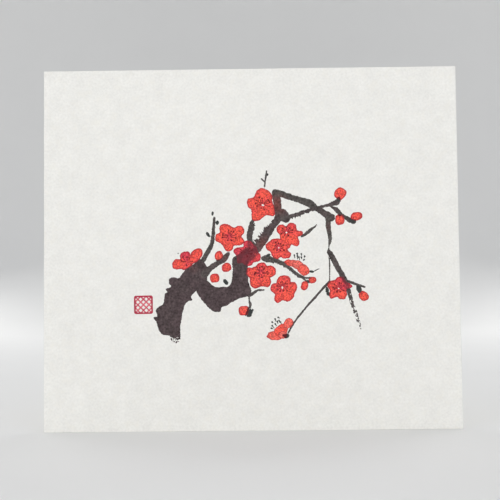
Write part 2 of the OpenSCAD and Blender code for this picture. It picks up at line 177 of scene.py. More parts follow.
# Blossoms that show their hearts. petals gives each petal's angle in degrees and its heat, from 0 for
# orange red to 1 for crimson; glow is how much redder the heart is, and eye is the radius of the bare
# heart. A heat below 0 means pigment thinned with water.
BLOSSOMS = {
    "slant_blossom": {
        "heart": (-42.4, -8.6), "eye": 0, "glow": 0.3, "stamens": 6,
        "petals": [(190, 0.15), (98, 1.1), (38, 0.15), (-70, 0.45)],
        "outline": [
            (-51.8, -9), (-50, -7), (-46.9, -6.9), (-47, -4.4), (-45.4, -2.3), (-41.4, -2.1), (-40.2, -4.4),
            (-39.4, -2.4), (-36.4, -0.3), (-33.4, -0.4), (-32.4, -3.4), (-34, -6.8), (-38.2, -9.6),
            (-41, -12), (-44, -13.7), (-46.6, -13.1), (-49.4, -13.5), (-51.9, -12.2)]},
    "blossom_01": {
        "heart": (8.2, 28.6), "eye": 0.7, "glow": 0.35, "stamens": 11,
        "petals": [(20, 0.25), (168, 0.05), (-50, 0.1), (-118, 0.1), (92, 0.15)],
        "outline": [
            (4.3, 38), (7.5, 39.5), (11, 38.4), (14, 35), (14.2, 30.6), (15.8, 26), (15.2, 21.3),
            (10, 21.7), (5.4, 18.3), (1.2, 18.9), (0.6, 25.3), (-1.8, 28), (-1.6, 32.4), (2.2, 33.6)]},
    "blossom_02": {
        "heart": (-14.2, 7.6), "eye": 0, "glow": 0.75, "stamens": 10,
        "petals": [(34, 0.1), (-30, 0), (185, 0.05), (-100, 0), (116, 0.05)],
        "outline": [
            (-18.8, 16), (-14.8, 15.5), (-11.4, 13.5), (-8.4, 14.6), (-5.8, 14.2), (-4.4, 10.8), (-6.4, 8),
            (-4.4, 4.6), (-6.8, 2.2), (-11.4, 1.7), (-13, -1.2), (-16.4, -1.6), (-19.2, 2.8), (-23.2, 5.4),
            (-23, 9), (-20.3, 10.6), (-20.6, 13.6)]},
    "blossom_03": {
        "heart": (23.6, 10), "eye": 0.5, "glow": 0.4, "stamens": 9,
        "petals": [(-118, 0.05), (0, 0.3), (-45, 0), (142, 0.25), (62, 0.5)],
        "outline": [
            (17.8, 14.2), (20.4, 15.2), (23.6, 14.2), (26.2, 16.3), (29.6, 15), (30.4, 11.6), (33.8, 10.6),
            (34, 8.6), (31, 7), (31.8, 3.8), (30.6, 1.1), (26.8, 2.1), (24.8, -0.4), (21.6, 1), (19.6, 5.4),
            (19.4, 8.4), (17.4, 11)]},
    "blossom_04": {
        "heart": (18.4, 0), "eye": 0.4, "glow": 0.6, "stamens": 9,
        "petals": [(12, 0.2), (-108, 0.2), (-45, 0.25), (175, 0.15), (106, 0.35)],
        "outline": [
            (14, 5.4), (17.6, 5.9), (21.6, 5), (24.8, 2.4), (25.8, 0.6), (24, -1.4), (26.2, -4), (25, -6.5),
            (21.6, -6.9), (19.4, -6), (16.6, -7.4), (13.8, -5.2), (13, -2.6), (10.6, -1), (10, 2),
            (12.6, 4.2)]},
    "blossom_05": {
        "heart": (-2.8, -3.2), "eye": 0, "glow": 0.2, "stamens": 7,
        "petals": [(40, 1), (-80, 1.1), (-26, 0.6), (170, 1), (95, 1.05)],
        "outline": [
            (-4.9, 3.2), (-3.4, 4.8), (-0.4, 4.8), (1.2, 2.6), (3.4, 1), (4.4, -2.4), (6, -5), (5.4, -8.4),
            (1.4, -9.4), (0.2, -11.2), (-3.4, -11.4), (-6, -9.8), (-9, -9.6), (-9.4, -5.2), (-11.4, -2.8),
            (-10.6, -0.2), (-5.4, 0.7)]},
    "blossom_06": {
        "heart": (6.2, -16.6), "eye": 0, "glow": 0.5, "stamens": 10,
        "petals": [(8, 0.15), (172, 0.2), (-55, 0.1), (-120, 0.1), (86, 0.5)],
        "outline": [
            (3.2, -12), (5.2, -10.2), (8.4, -9.9), (10.3, -12), (13.4, -12), (16, -14.2), (15.6, -17.6),
            (12.4, -19.8), (12.8, -23), (11, -25.7), (6.4, -25.3), (2.4, -26.5), (-0.4, -24.4),
            (-0.9, -19.6), (-3.4, -17), (-2.2, -13.2), (0.8, -13.2)]},
    "blossom_07": {
        "heart": (20.4, -26.3), "eye": 0.7, "glow": 0.4, "stamens": 11,
        "petals": [(4, 0.15), (180, 0.35), (-58, 0.1), (-112, 0.2), (84, 0.3)],
        "outline": [
            (16.3, -23.4), (17, -21.4), (19.2, -18.8), (23.6, -18.7), (25.6, -20.6), (26, -22.9),
            (29, -23.2), (30.1, -26.4), (28.2, -30.4), (27.6, -33), (24, -35.4), (20.4, -34.6),
            (17.4, -36.4), (15.2, -34.2), (15.6, -30.6), (13, -28), (13.4, -24.4)]},
    "blossom_08": {
        "heart": (57.6, -27.3), "eye": 0.45, "glow": 0.3, "stamens": 9,
        "petals": [(10, 1), (152, 0.35), (-62, 0.05), (-132, 0.2), (72, 0.8)],
        "outline": [
            (55.4, -22), (57, -20), (60.4, -19.8), (62.2, -22.4), (65, -24.4), (66.2, -26.6), (62.8, -28.2),
            (62.6, -31.6), (61.2, -34.4), (58.2, -34), (56.4, -32.6), (52.8, -34), (51.4, -31.6),
            (51.8, -28), (50.2, -25.4), (51.6, -22.6)]},
}
# Blossoms seen from the side: each lobe is x, z, half length, half width and angle
LOBED = {
    "side_blossom_upper": {"heat": -0.3, "lobes": [
        (25.2, -9.9, 3.5, 2.1, -12), (28.4, -10.8, 3.4, 2.5, -18), (30.8, -11.6, 3.9, 2.9, -28),
        (34.5, -15.1, 4.2, 3.4, -45)]},
    "side_blossom_lower": {"heat": -0.25, "lobes": [
        (14.9, -57.8, 5, 3, 0), (19.4, -54.6, 4.9, 3.7, 42), (24, -49.9, 3.9, 2.9, 45),
        (20.2, -57.5, 3, 2.7, 0)]},
}
# Buds: x, z, half length, half width, angle and heat
BUDS = [
    (59.5, 35.6, 4, 3.9, 60, 0.2), (70, 20.4, 3.9, 2.7, 10, 0.3), (59.2, 18.1, 3.6, 3.2, 90, 0.3),
    (74, -32.4, 3.4, 2.9, -50, 0.35), (-21.4, -4.9, 3.3, 2.8, 90, 0.4), (-16.4, -12.6, 3.2, 3, 0, 0.4),
    (-24.1, -19.6, 3.1, 3, 0, 0.4), (34.9, -25.4, 3.2, 2.3, 70, 0.3), (40.4, -21.6, 2.5, 2.1, 0, 0.35),
    (-5.2, -41.4, 3.6, 3.2, 0, 0.3),
]
# Stamens that stand clear of the side-view blossoms: root x and z, then tip x and z
CLEAR_STAMENS = [
    (28.9, -6.8, 28.6, -5), (30.6, -7.6, 30.6, -5.6), (30.6, -5, 30.4, -4), (32, -8, 31.6, -6.4),
    (33.4, -7.4, 33.2, -6.4), (33.4, -5.2, 33.2, -4.2), (35.2, -6.6, 35.4, -5.8), (34.4, -8.6, 35, -8),
    (13.8, -53.4, 12.8, -53), (14.6, -52.8, 13.4, -51.4), (16.2, -51.4, 15.4, -50.2),
    (14, -49.4, 13.4, -49), (15.8, -48.4, 15.4, -47), (17.2, -49.8, 16.8, -48.6), (18.4, -49.2, 18, -48),
    (18.4, -46.4, 17.4, -46), (19.4, -50, 18.9, -49),
]

# The seal's centre, size and the small turn with which it was pressed
SEAL_X, SEAL_Z = -71.5, -36.7
SEAL_W, SEAL_H = 12.5, 12.2
SEAL_TURN = math.radians(0.6)
SEAL_CORNER = 1.4
SEAL_BORDER = 1.1
SEAL_LINE = 0.95
SEAL_PITCH = 2.6


# ---------------------------------------------------------------------------------------------
# Settings
# ---------------------------------------------------------------------------------------------

def colour_prop(name, about, red, green, blue):
    """A colour setting, with its default given as it looks on a screen."""
    return FloatVectorProperty(name=name, description=about, default=shade(red, green, blue),
                               subtype="COLOR", size=3, min=0.0, max=1.0)


def length_prop(name, about, millimetres, top=10.0):
    """A length setting, with its default and its top in millimetres."""
    return FloatProperty(name=name, description=about, default=millimetres * MM, min=0.0, max=top * MM,
                         unit="LENGTH", subtype="DISTANCE", precision=5)


class BoardSettings(bpy.types.PropertyGroup):
    """Sizes and colours of the glued plies"""
    edge_wander: length_prop("Edge wander", "How far the cut edge strays from a straight line", 0.05)
    arris: length_prop("Arris", "How far the cut rounds the board's front and back edges", 0.09)
    glue_line: length_prop("Glue line", "How far the seam between two plies is sunk at the edge", 0.04)
    fibre_count: IntProperty(name="Fibres", description="Long fibres on the face paper",
                             default=520, min=0, max=4000)
    paper: colour_prop("Face paper", "Colour of the painted paper", 240, 239, 235)
    core: colour_prop("Core", "Colour of the core plies", 196, 189, 175)
    back: colour_prop("Back paper", "Colour of the backing paper", 226, 220, 206)


class InkSettings(bpy.types.PropertyGroup):
    """Sizes and colours of the dark strokes and dabs"""
    grid: length_prop("Grid", "Spacing of the points that carry a film", 0.2, 1.0)
    film: length_prop("Film", "Height of a dried film over the paper", 0.03, 0.2)
    warm: colour_prop("Warm ink", "Plum-brown ink of the heavy strokes", 80, 67, 69)
    grey: colour_prop("Grey ink", "Grey-black ink of the thin twigs", 86, 82, 79)
    dab: colour_prop("Dab ink", "Green-black ink of the dots and calyxes", 58, 61, 60)
    hair: colour_prop("Stamen ink", "Dark ink of the stamens on the petals", 104, 20, 30)


class BlossomSettings(bpy.types.PropertyGroup):
    """Sizes and colours of the petals and buds"""
    more_stamens: IntProperty(name="More stamens", description="Stamens added to each blossom's own number",
                              default=0, min=0, max=10)
    orange: colour_prop("Orange red", "Pigment of the least red petals", 238, 89, 74)
    crimson: colour_prop("Crimson", "Pigment of the reddest petals", 212, 66, 82)
    rim: colour_prop("Rim", "Pigment gathered at a petal's edge", 172, 34, 50)
    over_ink: colour_prop("Over ink", "Petal pigment where it lies over a dark stroke", 104, 48, 56)


class SealSettings(bpy.types.PropertyGroup):
    """Look of the seal"""
    paste: colour_prop("Seal paste", "Colour of the seal's paste", 174, 30, 62)
    wear: FloatProperty(name="Wear", description="How unevenly the seal printed",
                        default=0.22, min=0.0, max=1.0, subtype="FACTOR")


class StageSettings(bpy.types.PropertyGroup):
    """Floor, lights and camera"""
    floor: colour_prop("Floor", "Colour of the floor and its cove", 228, 228, 227)
    floor_radius: FloatProperty(name="Floor radius", description="Flat part of the floor",
                                default=1.6, min=1.0, max=5.0, unit="LENGTH", subtype="DISTANCE")
    cove_radius: FloatProperty(name="Cove radius", description="Bend between floor and wall",
                               default=1.2, min=0.2, max=3.0, unit="LENGTH", subtype="DISTANCE")
    lens: FloatProperty(name="Lens", description="Focal length in millimetres",
                        default=65.0, min=20.0, max=200.0)
    distance: FloatProperty(name="Distance", description="From the camera to the painted face",
                            default=0.5975, min=0.2, max=3.0, unit="LENGTH", subtype="DISTANCE")
    azimuth: FloatProperty(name="Azimuth", description="How far the camera stands round to the right",
                           default=math.radians(0.6), unit="ROTATION", subtype="ANGLE")
    elevation: FloatProperty(name="Elevation", description="How far the camera stands above the middle",
                             default=math.radians(-2.7), unit="ROTATION", subtype="ANGLE")
    roll: FloatProperty(name="Roll", description="How far the camera leans",
                        default=math.radians(-0.62), unit="ROTATION", subtype="ANGLE")
    light: FloatProperty(name="Light", description="Strength of all the lamps together",
                         default=1.0, min=0.0, max=5.0, subtype="FACTOR")


# ---------------------------------------------------------------------------------------------
# Smooth random fields
# ---------------------------------------------------------------------------------------------

LATTICE = 256  # points along a side of the table of random numbers, which repeats


def grain(a, b, size, seed):
    """Smooth noise from -1 to 1 at the places (a, b), with features about size across."""
    table = np.random.default_rng(seed).uniform(-1.0, 1.0, (LATTICE, LATTICE))
    a, b = a / size, b / size
    ia, ib = np.floor(a).astype(int), np.floor(b).astype(int)
    fa, fb = a - ia, b - ib
    fa, fb = fa * fa * (3 - 2 * fa), fb * fb * (3 - 2 * fb)
    ia, ib = ia % LATTICE, ib % LATTICE
    ja, jb = (ia + 1) % LATTICE, (ib + 1) % LATTICE
    low = table[ia, ib] * (1 - fa) + table[ja, ib] * fa
    high = table[ia, jb] * (1 - fa) + table[ja, jb] * fa
    return low * (1 - fb) + high * fb


def rough(a, b, size, seed, layers=3):
    """Several sizes of grain added up, each half the size and half the strength of the last."""
    total = sum(grain(a, b, size / 2 ** k, seed + k) / 2 ** k for k in range(layers))
    return total / (2 - 0.5 ** (layers - 1))


def ease(value, low, high):
    """0 below low, 1 above high, with a smooth step between."""
    t = np.clip((value - low) / (high - low), 0.0, 1.0)
    return t * t * (3 - 2 * t)


# ---------------------------------------------------------------------------------------------
# Canvas, fields and films. A field is positive inside a mark, in millimetres from its edge.
# ---------------------------------------------------------------------------------------------

BARE = -9.0  # the field of paper with nothing on it


class Canvas:
    """A grid of points on the paper, in millimetres from its centre."""

    def __init__(self, low_x, low_z, high_x, high_z, step):
        self.low_x, self.low_z, self.step = low_x, low_z, step
        xs = np.arange(low_x, high_x + step / 2, step)
        zs = np.arange(low_z, high_z + step / 2, step)
        self.x, self.z = np.meshgrid(xs, zs, indexing="ij")
        self.window = (slice(None), slice(None))

    def part(self, low_x, low_z, high_x, high_z):
        """The slice of this canvas that holds a box."""
        nx, nz = self.x.shape
        i0 = max(int((low_x - self.low_x) / self.step), 0)
        j0 = max(int((low_z - self.low_z) / self.step), 0)
        i1 = min(int((high_x - self.low_x) / self.step) + 2, nx)
        j1 = min(int((high_z - self.low_z) / self.step) + 2, nz)
        piece = Canvas.__new__(Canvas)
        piece.low_x, piece.low_z, piece.step = self.x[i0, 0], self.z[0, j0], self.step
        piece.x, piece.z = self.x[i0:i1, j0:j1], self.z[i0:i1, j0:j1]
        piece.window = (slice(i0, i1), slice(j0, j1))
        return piece

    def part_round(self, places, margin):
        """The slice of this canvas that holds some places, with a margin all round."""
        places = np.array([place[:2] for place in places], float)
        return self.part(*(places.min(0) - margin), *(places.max(0) + margin))

    def bare(self):
        """The field of this canvas with nothing on it."""
        return np.full(self.x.shape, BARE)


def lay_on(sheet, piece, mark):
    """Adds the field of a mark, which covers a piece of the canvas, to the field of the whole sheet."""
    view = sheet[piece.window]
    np.maximum(view, mark, out=view)


def curve_rows(rows, steps=8, closed=False):
    """Rows of numbers with smooth rows put in between them."""
    rows = np.array(rows, float)
    count = len(rows)
    spans = count if closed else count - 1

    def pick(i):
        return rows[i % count] if closed else rows[min(max(i, 0), count - 1)]

    out = []
    for i in range(spans):
        a, b, c, d = pick(i - 1), pick(i), pick(i + 1), pick(i + 2)
        for k in range(steps):
            t = k / steps
            out.append(0.5 * (2 * b + (c - a) * t + (2 * a - 5 * b + 4 * c - d) * t * t
                              + (3 * b - a - 3 * c + d) * t ** 3))
    if not closed:
        out.append(rows[-1])
    return np.array(out)


def stroke_field(x, z, rows):
    """The field of a stroke, the length along it, the place across it (-1 to 1) and its dryness."""
    fine = curve_rows(rows)
    fine[:, 3] = np.clip(fine[:, 3], 0, 1)
    best = np.full(x.shape, -1e9)
    along, across, dry = np.zeros(x.shape), np.zeros(x.shape), np.zeros(x.shape)
    run = 0.0
    for a, b in zip(fine[:-1], fine[1:]):
        ex, ez = b[0] - a[0], b[1] - a[1]
        length = math.hypot(ex, ez)
        t = np.clip(((x - a[0]) * ex + (z - a[1]) * ez) / length ** 2, 0, 1)
        dx, dz = x - a[0] - t * ex, z - a[1] - t * ez
        half = a[2] + t * (b[2] - a[2])
        field = half - np.hypot(dx, dz)
        side = (ex * dz - ez * dx) / length
        better = field > best
        best = np.where(better, field, best)
        along = np.where(better, run + t * length, along)
        across = np.where(better, side / half, across)
        dry = np.where(better, a[3] + t * (b[3] - a[3]), dry)
        run += length
    return best, along, across, dry


def outline_field(x, z, corners):
    """The field of a closed smooth outline."""
    ring = curve_rows(corners, steps=4, closed=True)
    nearest = np.full(x.shape, 1e9)
    inside = np.zeros(x.shape, bool)
    for a, b in zip(ring, np.roll(ring, -1, axis=0)):
        ex, ez = b - a
        t = np.clip(((x - a[0]) * ex + (z - a[1]) * ez) / (ex * ex + ez * ez), 0, 1)
        nearest = np.minimum(nearest, np.hypot(x - a[0] - t * ex, z - a[1] - t * ez))
        crosses = (a[1] > z) != (b[1] > z)
        if ez != 0:
            inside ^= crosses & (x < a[0] + (z - a[1]) / ez * ex)
    return np.where(inside, nearest, -nearest)


def oval_field(x, z, cx, cz, half_length, half_width, angle, squareness=2.0):
    """The field of an oval that leans at an angle in degrees."""
    c, s = math.cos(math.radians(angle)), math.sin(math.radians(angle))
    u = ((x - cx) * c + (z - cz) * s) / half_length
    v = ((z - cz) * c - (x - cx) * s) / half_width
    reach = (np.abs(u) ** squareness + np.abs(v) ** squareness) ** (1 / squareness)
    return (1 - reach) * min(half_length, half_width)


# The corners of a grid cell, numbered 0 to 3 anticlockwise from the lower left, and the crossings on its
# edges, 4 to 7 from the lower edge, make these polygons for each set of corners that is inside
CELL_POLYGONS = {
    1: [(0, 4, 7)], 2: [(1, 5, 4)], 3: [(0, 1, 5, 7)], 4: [(2, 6, 5)], 5: [(0, 4, 7), (2, 6, 5)],
    6: [(1, 2, 6, 4)], 7: [(0, 1, 2, 6, 7)], 8: [(3, 7, 6)], 9: [(0, 4, 6, 3)], 10: [(1, 5, 4), (3, 7, 6)],
    11: [(0, 1, 5, 6, 3)], 12: [(2, 3, 7, 5)], 13: [(0, 4, 5, 2, 3)], 14: [(1, 2, 3, 7, 4)],
    15: [(0, 1, 2, 3)],
}
CROSSING_ROOM = 0.04  # share of a cell's side that a crossing keeps from its corners
SUNK = 0.002  # how deep in millimetres a film's flat underside lies in the paper


def edge_crossings(field, inside, layers, count):
    """Where a mark's outline crosses the grid: a number for each crossing, and the layers' values there."""
    numbers, values = [], [[] for _ in layers]
    for lower, upper in ((np.s_[:-1, :], np.s_[1:, :]), (np.s_[:, :-1], np.s_[:, 1:])):
        crossed = inside[lower] != inside[upper]
        ids = np.full(crossed.shape, -1)
        ids[crossed] = count + np.arange(int(crossed.sum()))
        count += int(crossed.sum())
        f0, f1 = field[lower][crossed], field[upper][crossed]
        t = np.clip(f0 / (f0 - f1), CROSSING_ROOM, 1 - CROSSING_ROOM)
        for found, layer in zip(values, layers):
            found.append(layer[lower][crossed] * (1 - t) + layer[upper][crossed] * t)
        numbers.append(ids)
    return numbers, values, count


def film_faces(corner, across, up, count, total):
    """The polygons of a film's top, and the same ones turned over for its underside."""
    token = [corner[:-1, :-1], corner[1:, :-1], corner[1:, 1:], corner[:-1, 1:],
             across[:, :-1], up[1:, :], across[:, 1:], up[:-1, :]]
    code = sum((token[k] >= 0) * 2 ** k for k in range(4))
    faces = []
    for case, polygons in CELL_POLYGONS.items():
        here = code == case
        for polygon in polygons:
            top = np.stack([token[k][here] for k in polygon], axis=1)
            bottom = np.where(top < count, top + total, top)[:, ::-1]
            faces += top.tolist() + bottom.tolist()
    return faces


def film_object(name, canvas, field, height, traits):
    """A closed film of paint with a flat underside. It thins out to nothing where its field is 0."""
    inside = field > 0
    count = int(inside.sum())
    if count == 0:
        raise RuntimeError(f"{name} has no inside")
    corner = np.full(field.shape, -1)
    corner[inside] = np.arange(count)
    layers = [canvas.x, canvas.z] + list(traits.values())
    (across, up), crossing_values, total = edge_crossings(field, inside, layers, count)
    within = [layer[inside] for layer in layers]
    xs, zs, *rest = [np.concatenate([one, *more, one]) for one, more in zip(within, crossing_values)]
    ys = np.full(xs.shape, SUNK)
    ys[:count] = -height[inside]
    places = np.stack([xs * MM + CENTRE_X, ys * MM + FRONT_Y, zs * MM + CENTRE_Z], axis=1)
    mesh = bpy.data.meshes.new(name)
    mesh.from_pydata(places.tolist(), [], film_faces(corner, across, up, count, total))
    for trait, data in zip(traits, rest):
        mesh.attributes.new(trait, "FLOAT", "POINT").data.foreach_set("value", data.astype(np.float32))
    return finish_mesh(name, mesh)


def finish_mesh(name, mesh, sharp=50.0):
    """Shades a mesh smooth apart from its sharp edges, and puts it in the scene."""
    mesh.validate()
    mesh.polygons.foreach_set("use_smooth", [True] * len(mesh.polygons))
    mesh.set_sharp_from_angle(angle=math.radians(sharp))
    mesh.update()
    piece = bpy.data.objects.new(name, mesh)
    bpy.context.scene.collection.objects.link(piece)
    return piece


def settle(piece, node, material):
    """Gives a piece its material, and lets it stand for its CAD node on the one body."""
    piece.data.materials.append(material)
    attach(piece, "root")
    if node:
        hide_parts(node)
    return piece


# ---------------------------------------------------------------------------------------------
# Materials
# ---------------------------------------------------------------------------------------------

class Recipe:
    """A material made of shader nodes. Positions in it are in millimetres."""

    def __init__(self, name, roughness, specular):
        self.material = bpy.data.materials.new(name)
        self.material.use_nodes = True
        self.nodes, self.links = self.material.node_tree.nodes, self.material.node_tree.links
        self.shader = self.nodes["Principled BSDF"]
        self.shader.inputs["Roughness"].default_value = roughness
        self.shader.inputs["Specular IOR Level"].default_value = specular
        place = self.nodes.new("ShaderNodeTexCoord").outputs["Object"]
        self.place = self.vector("SCALE", place, scale=1 / MM)

    def feed(self, socket, value):
        """Links a socket to another one, or sets it to a plain value."""
        if isinstance(value, bpy.types.NodeSocket):
            self.links.new(value, socket)
        elif hasattr(value, "__len__") and len(value) == 3 and socket.type == "RGBA":
            socket.default_value = (*value, 1.0)
        else:
            socket.default_value = value

    def vector(self, operation, a, b=None, scale=None):
        """The outcome of a sum on vectors."""
        node = self.nodes.new("ShaderNodeVectorMath")
        node.operation = operation
        self.feed(node.inputs[0], a)
        if b is not None:
            self.feed(node.inputs[1], b)
        if scale is not None:
            self.feed(node.inputs["Scale"], scale)
        return node.outputs[0]

    def noise(self, size, detail=2.0, stretch=(1, 1, 1), shift=0.0):
        """Noise with features about size millimetres across, longer along an axis that stretch divides."""
        node = self.nodes.new("ShaderNodeTexNoise")
        moved = self.vector("MULTIPLY_ADD", self.place, stretch)
        self.feed(moved.node.inputs[2], (shift, shift, shift))
        self.feed(node.inputs["Vector"], moved)
        self.feed(node.inputs["Scale"], 1 / size)
        self.feed(node.inputs["Detail"], detail)
        return node.outputs["Fac"]

    def trait(self, name):
        """A number that the film carries at each of its points."""
        node = self.nodes.new("ShaderNodeAttribute")
        node.attribute_name = name
        return node.outputs["Fac"]

    def math(self, operation, a, b, clamp=False):
        """The outcome of a sum on numbers."""
        node = self.nodes.new("ShaderNodeMath")
        node.operation = operation
        node.use_clamp = clamp
        self.feed(node.inputs[0], a)
        self.feed(node.inputs[1], b)
        return node.outputs[0]

    def span(self, value, low, high, to_low=0.0, to_high=1.0):
        """A value taken from one range to another, and kept in it."""
        node = self.nodes.new("ShaderNodeMapRange")
        node.interpolation_type = "SMOOTHSTEP"
        for socket, number in zip(node.inputs, (value, low, high, to_low, to_high)):
            self.feed(socket, number)
        return node.outputs[0]

    def mix(self, share, a, b, blend="MIX"):
        """Colour a, with a share of it given over to colour b."""
        node = self.nodes.new("ShaderNodeMix")
        node.data_type = "RGBA"
        node.blend_type = blend
        self.feed(node.inputs[0], share)
        self.feed(node.inputs[6], a)
        self.feed(node.inputs[7], b)
        return node.outputs[2]

    def lighten(self, colour, amount):
        """The colour made lighter or darker by a share that varies over the surface."""
        grey = self.nodes.new("ShaderNodeCombineColor")
        factor = self.math("ADD", amount, 1.0)
        for socket in grey.inputs[:3]:
            self.feed(socket, factor)
        return self.mix(1.0, colour, grey.outputs[0], "MULTIPLY")

    def bump(self, height, millimetres, strength=1.0):
        """Gives the surface a relief."""
        node = self.nodes.new("ShaderNodeBump")
        self.feed(node.inputs["Height"], height)
        node.inputs["Distance"].default_value = millimetres * MM
        node.inputs["Strength"].default_value = strength
        self.links.new(node.outputs[0], self.shader.inputs["Normal"])

    def done(self, colour):
        """The finished material, in this colour."""
        self.feed(self.shader.inputs["Base Color"], colour)
        return self.material


def swing(recipe, value, amount):
    """A 0-to-1 value turned into one from -amount to amount."""
    return recipe.math("MULTIPLY", recipe.math("SUBTRACT", value, 0.5), 2 * amount)


def deepen(colour, *shares):
    """A plain colour with each channel, or all of them, multiplied by a share."""
    return tuple(c * k for c, k in zip(colour, shares * 3 if len(shares) == 1 else shares))


def paper_material(name, colour, mottle, laid=0.0):
    """Soft paper: cloudy, finely mottled, with a tooth, and laid lines if asked for."""
    r = Recipe(name, roughness=0.86, specular=0.18)
    clouds = r.noise(9.0, 2.0)
    spots = r.noise(1.5, 3.0, shift=17.0)
    tooth = r.noise(0.28, 2.0, shift=31.0)
    tint = r.lighten(colour, swing(r, spots, mottle))
    tint = r.lighten(tint, swing(r, clouds, mottle * 0.5))
    stains = r.span(r.noise(4.0, 2.0, shift=53.0), 0.45, 0.75, 0.0, 0.35)
    tint = r.mix(stains, tint, deepen(colour, 1.0, 0.985, 0.95))
    flecks = r.span(r.noise(0.55, 1.0, shift=71.0), 0.79, 0.83, 0.0, 0.35)
    tint = r.mix(flecks, tint, deepen(colour, 0.72, 0.66, 0.58))
    height = r.math("ADD", r.math("MULTIPLY", tooth, 0.6), spots)
    if laid:
        lines = r.noise(0.9, 0.0, stretch=(0.03, 1, 1.2), shift=5.0)
        tint = r.lighten(tint, swing(r, lines, laid))
        height = r.math("ADD", height, lines)
    r.bump(height, 0.03, 0.35)
    return r.done(tint)


def core_material(colour):
    """Pulp board seen at its cut edge: short fibres lying along the ply."""
    r = Recipe("pulp_board", roughness=0.92, specular=0.1)
    lying = r.noise(0.12, 3.0, stretch=(0.12, 1, 1))
    standing = r.noise(0.12, 3.0, stretch=(1, 1, 0.12), shift=9.0)
    fibres = r.math("MAXIMUM", lying, standing)
    lumps = r.noise(1.2, 3.0, shift=23.0)
    tint = r.lighten(r.lighten(colour, swing(r, fibres, 0.22)), swing(r, lumps, 0.1))
    specks = r.span(r.noise(0.3, 0.0, shift=41.0), 0.74, 0.8, 0.0, 0.5)
    tint = r.mix(specks, tint, deepen(colour, 0.45))
    r.bump(r.math("ADD", fibres, lumps), 0.05, 0.6)
    return r.done(tint)


def fibre_material(colour):
    """Long paper fibres, a little lighter and silkier than the sheet."""
    r = Recipe("paper_fibre", roughness=0.6, specular=0.3)
    tone = r.noise(6.0, 1.0, shift=13.0)
    r.bump(r.noise(0.2, 1.0), 0.01, 0.3)
    return r.done(r.lighten(colour, swing(r, tone, 0.09)))


# What the pigments turn into where they meet something else
INK_WITH_RED = shade(126, 68, 62)
STAMEN_OVER_PETAL = shade(92, 26, 34)
WATERED_RED = shade(238, 136, 126)
RED_ON_BARE_TOOTH = shade(250, 150, 120)
THIN_PASTE = shade(240, 128, 140)


def ink_material(warm, grey):
    """Dried ink: soaked into the paper, gathered at its wet edges, thin where the brush ran dry."""
    r = Recipe("branch_ink", roughness=0.78, specular=0.22)
    base = r.mix(r.trait("blush"), r.mix(r.trait("cool"), warm, grey), INK_WITH_RED)
    spots = r.noise(1.3, 3.0, shift=17.0)
    pools = r.noise(5.0, 2.0, shift=29.0)
    tint = r.lighten(r.lighten(base, swing(r, spots, 1.15)), swing(r, pools, 0.4))
    tint = r.mix(r.span(r.trait("edge"), 0.0, 0.6, 0.2, 0.0), tint, deepen(grey, 0.5))
    tooth = r.noise(0.3, 2.0, shift=31.0)
    spent = r.span(r.trait("load"), 0.0, 0.8, 0.75, 0.0)
    thin = r.math("MULTIPLY", spent, r.span(tooth, 0.35, 0.65), clamp=True)
    tint = r.mix(thin, tint, tuple(0.12 + 0.7 * c for c in warm))
    r.bump(r.math("ADD", r.math("MULTIPLY", tooth, 0.5), spots), 0.03, 0.35)
    return r.done(tint)


def petal_material(look):
    """Red pigment: hue from petal to petal, a gathered rim, speckle from the paper, darker over ink."""
    r = Recipe("petal_pigment", roughness=0.7, specular=0.2)
    heat = r.math("ADD", r.trait("redness"), swing(r, r.noise(2.4, 3.0, shift=3.0), 0.7), clamp=True)
    base = r.mix(heat, tuple(look.orange), tuple(look.crimson))
    base = r.mix(r.span(r.trait("redness"), -0.5, 0.0, 0.5, 0.0), base, WATERED_RED)
    spots = r.noise(0.9, 3.0, shift=17.0)
    tint = r.lighten(base, swing(r, spots, 1.3))
    tint = r.mix(r.span(r.trait("rim"), 0.1, 1.25, 0.92, 0.0), tint, tuple(look.rim))
    pale = r.span(r.noise(0.6, 2.0, shift=37.0), 0.66, 0.8, 0.0, 0.45)
    tint = r.mix(pale, tint, RED_ON_BARE_TOOTH)
    tint = r.mix(r.trait("under"), tint, r.lighten(tuple(look.over_ink), swing(r, spots, 0.3)))
    r.bump(r.math("ADD", r.noise(0.3, 2.0, shift=31.0), spots), 0.03, 0.3)
    return r.done(tint)


def dark_material(name, colour):
    """Fine dark ink of the stamens and dabs."""
    r = Recipe(name, roughness=0.72, specular=0.25)
    spots = r.noise(0.5, 2.0, shift=17.0)
    tint = r.lighten(colour, swing(r, spots, 0.25))
    tint = r.mix(r.span(r.trait("edge"), 0.0, 0.35, 0.35, 0.0), tint, deepen(colour, 0.5))
    tint = r.mix(r.trait("over"), tint, STAMEN_OVER_PETAL)
    r.bump(spots, 0.02, 0.3)
    return r.done(tint)


def paste_material(colour):
    """Oily seal paste, printed unevenly."""
    r = Recipe("seal_paste", roughness=0.5, specular=0.35)
    patches = r.noise(2.2, 2.0, shift=61.0)
    spots = r.noise(0.35, 2.0, shift=19.0)
    tint = r.lighten(r.lighten(colour, swing(r, patches, 0.25)), swing(r, spots, 0.2))
    spent = r.span(r.trait("load"), 0.0, 0.85, 1.0, 0.0)
    thin = r.math("MULTIPLY", spent, r.span(spots, 0.2, 0.8, 0.4, 0.9))
    tint = r.mix(thin, tint, THIN_PASTE)
    r.bump(spots, 0.03, 0.5)
    return r.done(tint)


def floor_material(colour):
    """Matt seamless backdrop with the faintest unevenness."""
    r = Recipe("floor", roughness=0.95, specular=0.05)
    return r.done(r.lighten(colour, swing(r, r.noise(120.0, 2.0), 0.012)))


# ---------------------------------------------------------------------------------------------
# The board
# ---------------------------------------------------------------------------------------------

